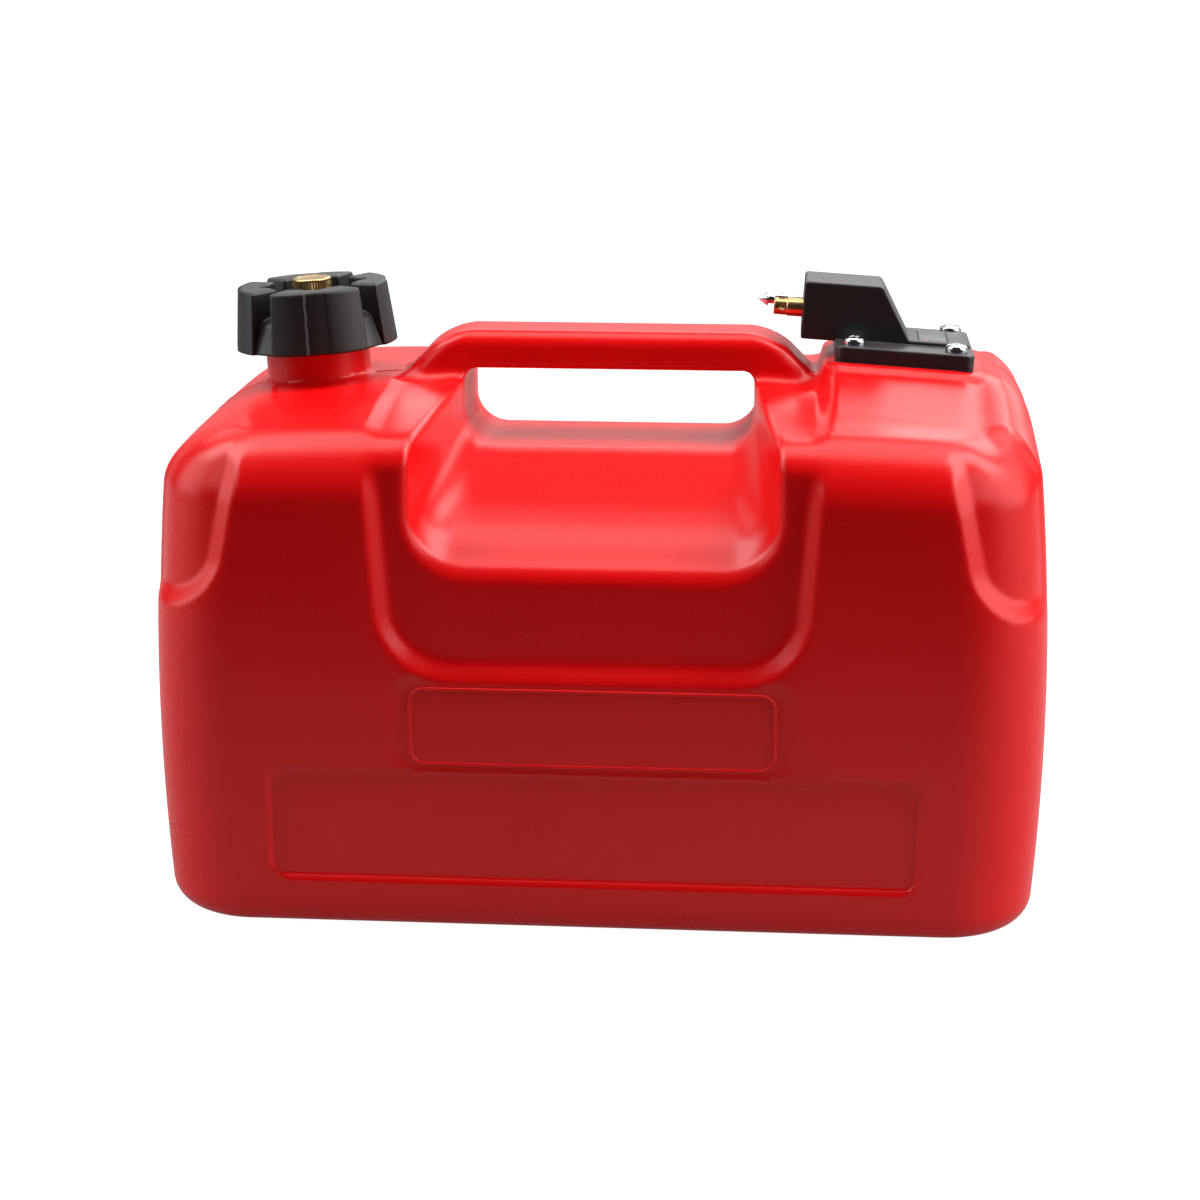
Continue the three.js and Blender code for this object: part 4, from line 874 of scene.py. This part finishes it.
def parting_ridge(name, start, end, count):
    """A low flash line left by the mould, from one place of (x, z) to another on the shell's top line.

    Its size grows from nothing over a twelfth of its way, falls to nothing over the last twelfth, and wavers
    by the product of a fast and a slow sine.
    """
    along = np.linspace(0, 1, count)
    x, z = (first + (last - first) * along for first, last in zip(start, end))
    level = np.array([1.0, 0.0, 1.0])
    spots = settle(body_form, np.stack([x, 0 * x, z], 1), 0.05, 12) * level
    out = unit(slope_of(body_form, spots, 0.4) * level)
    size = np.minimum(1, np.minimum(along, 1 - along) * 12)
    size = size * (1 + 0.35 * np.sin(along * 37) * np.sin(along * 11))
    ridge(name, spots, out, 0.7, 0.4, 0.08, RED_LINE, size)


around = np.linspace(0, TURN, FRAME_POINTS, endpoint=False)
frame_path = np.stack([
    np.clip(np.cos(around) * 400, -FRAME_HALF_X, FRAME_HALF_X) + FRAME_RADIUS * np.cos(around),
    np.full(FRAME_POINTS, FRAME_Y),
    np.clip(np.sin(around) * 400, -FRAME_HALF_Z, FRAME_HALF_Z) + FRAME_RADIUS * np.sin(around) + LABEL_MIDDLE,
], 1)
ridge("label_frame", frame_path, np.tile([0.0, -1.0, 0.0], (FRAME_POINTS, 1)), 0.8, 0.75, 0.05, RED)
parting_ridge("parting_line_left", (-179, 186), (-152, 212), 90)
parting_ridge("parting_line_neck", (-104, 214.5), (-91, 215.5), 40)
parting_ridge("parting_line_right", (163, 219), (178, 198), 90)

# Carried-over nodes

for look, nodes in (
    (RUBBER, ["cap_gasket", "vent_seal", "gauge_gasket"]),
    (PANE, ["dial_window"]),
    (WHITE, ["dial_face", "pickup_strainer"]),
    (POINTER_RED, ["pointer"]),
    (STEEL, ["twist_strip", "pickup_tube", "guide_rod_1", "guide_rod_2"]),
    (BRASS, ["strip_bearing", "float_key", *(f"screw_insert_{n}" for n in range(1, 5))]),
    (INNER_BLACK, ["gauge_frame_top", "gauge_frame_foot", "connector_block"]),
    (FOAM, ["float"]),
):
    for name in nodes:
        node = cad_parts[name]
        if not node.material_slots:
            node.data.materials.append(look)
        for material_slot in node.material_slots:
            material_slot.material = look

# Stage, light and camera

FLOOR_FRONT, BEND_START, BEND_RADIUS, WALL_TOP = -0.45, 1.4, 0.6, 1.2
MIDDLE = (0, 0, 0.12)
LAMPS = (
    ("top_light", (0, 0.1, 1.4), 1.2, 0.9, 10.5),
    ("back_light", (0.6, 0.95, 1.15), 1.2, 0.5, 6.5),
    ("front_light_left", (-1.15, -0.85, 0.75), 0.4, 0.6, 1.6),
    ("front_light_right", (1.15, -0.85, 0.75), 0.4, 0.6, 2.1),
    ("top_light_left", (-0.85, -0.1, 1.1), 0.5, 0.9, 9.8),
    ("top_light_right", (0.85, -0.1, 1.1), 0.5, 0.9, 12.7),
    ("back_light_left", (-0.8, 0.75, 1.0), 0.6, 0.5, 1.4),
    ("back_light_right", (0.8, 0.75, 1.0), 0.6, 0.5, 2.5),
    ("left_light", (-1.4, -0.1, 0.5), 0.9, 0.8, 4.5),
    ("right_light", (1.4, -0.1, 0.5), 0.9, 0.8, 6.2),
    ("right_strip", (1.4, -0.65, 0.5), 0.25, 1.0, 1.3),
)


def stage_material(name, tones, seen, glow, wall_glow):
    """Matt pale paper with a faint mottle: bright to the eye, and a dimmer source of light.

    What it sheds changes from glow at 0.05 m high to wall_glow at 0.3 m.
    """
    material, tree, shader = plain_material(name)
    mottle = add(tree, "ShaderNodeGroup", node_tree=MOTTLE, Scale=3.0, Contrast=0.6)
    low, high = (colour(tone, tone, tone) for tone in tones)
    where = add(tree, "ShaderNodeTexCoord").outputs["Object"]
    height = add(tree, "ShaderNodeSeparateXYZ", Vector=where).outputs["Z"]
    shed = add(tree, "ShaderNodeMapRange", interpolation_type="SMOOTHSTEP", Value=height, From_Min=0.05,
               From_Max=0.3, To_Min=glow, To_Max=wall_glow)
    to_eye = add(tree, "ShaderNodeLightPath").outputs["Is Camera Ray"]
    other = maths(tree, "MULTIPLY", maths(tree, "SUBTRACT", 1.0, to_eye), shed.outputs[0])
    base = blend_colour(tree, mottle.outputs["Tone"], low, high)
    strength = maths(tree, "MULTIPLY_ADD", to_eye, seen, other)
    fill(tree, shader, Base_Color=base, Roughness=0.9, Emission_Color=(1.0, 1.0, 1.0, 1.0),
         Emission_Strength=strength)
    return material


def backdrop():
    """Floor that bends up behind into a wall: level, then a quarter round, then upright."""
    bend = np.linspace(0, np.pi / 2, 24)[1:]
    level = np.linspace(FLOOR_FRONT, BEND_START, 16)
    upright = np.linspace(BEND_RADIUS, WALL_TOP, 5)[1:]
    y = np.concatenate([level, BEND_START + BEND_RADIUS * np.sin(bend), np.full(4, BEND_START + BEND_RADIUS)])
    z = np.concatenate([0 * level, BEND_RADIUS * (1 - np.cos(bend)), upright])
    x = np.linspace(-2.5, 2.5, 24)
    points = np.stack(np.broadcast_arrays(x[None, :], y[:, None], z[:, None]), -1).reshape(-1, 3)
    mesh = bpy.data.meshes.new("paper_sweep")
    mesh.from_pydata(points.tolist(), [], grid_faces(len(y), len(x), closed_columns=False).tolist())
    mesh.shade_smooth()
    mesh.materials.append(stage_material("paper", (122, 126), seen=0.98, glow=0.19, wall_glow=0.3))
    sweep = bpy.data.objects.new("paper_sweep", mesh)
    bpy.context.scene.collection.objects.link(sweep)


def facing(at, back):
    """Where a lamp or a camera stands: at a point, with its back to a direction and its sides level."""
    right = unit(np.cross([0.0, 0.0, 1.0], back))
    columns = np.column_stack([right, np.cross(back, right), back, at])
    return Matrix(np.vstack([columns, [0, 0, 0, 1]]).tolist())


def soft_light(name, at, aim, width, height, power):
    """A flat soft light that faces a point."""
    lamp = bpy.data.lights.new(name, "AREA")
    lamp.shape = "RECTANGLE"
    lamp.size, lamp.size_y = width, height
    lamp.energy = power
    light = bpy.data.objects.new(name, lamp)
    light.visible_camera = False
    light.matrix_world = facing(at, unit(np.subtract(at, aim)))
    bpy.context.scene.collection.objects.link(light)


backdrop()
for name, at, width, height, power in LAMPS:
    soft_light(name, at, MIDDLE, width, height, power)
soft_light("wall_light", (0, 1.95, 1.15), (0, 0, 1.15), 1.4, 0.5, 5.7)
soft_light("wall_light_right", (1.6, 1.95, 0.7), (1.6, 0, 0.7), 1.8, 0.4, 5.0)

world = bpy.data.worlds.new("studio")
world.use_nodes = True
tree = world.node_tree
to_eye = add(tree, "ShaderNodeLightPath").outputs["Is Camera Ray"]
fill(tree, tree.nodes["Background"], Color=(1.0, 1.0, 1.0, 1.0),
     Strength=maths(tree, "MULTIPLY_ADD", to_eye, 1.0, 0.02))
bpy.context.scene.world = world
bpy.context.scene.view_settings.view_transform = "Standard"

azimuth, pitch, distance = np.radians(4.35), np.radians(15.5), 1.155
back = np.array([np.sin(azimuth) * np.cos(pitch), -np.cos(azimuth) * np.cos(pitch), np.sin(pitch)])
lens = bpy.data.cameras.new("photo_view")
lens.lens = 78
lens.sensor_width = 36
lens.clip_start = 0.05
camera = bpy.data.objects.new("photo_view", lens)
camera.matrix_world = facing(np.array([-0.0052, 0, 0.112]) + back * distance, back)
bpy.context.scene.collection.objects.link(camera)
bpy.context.scene.camera = camera
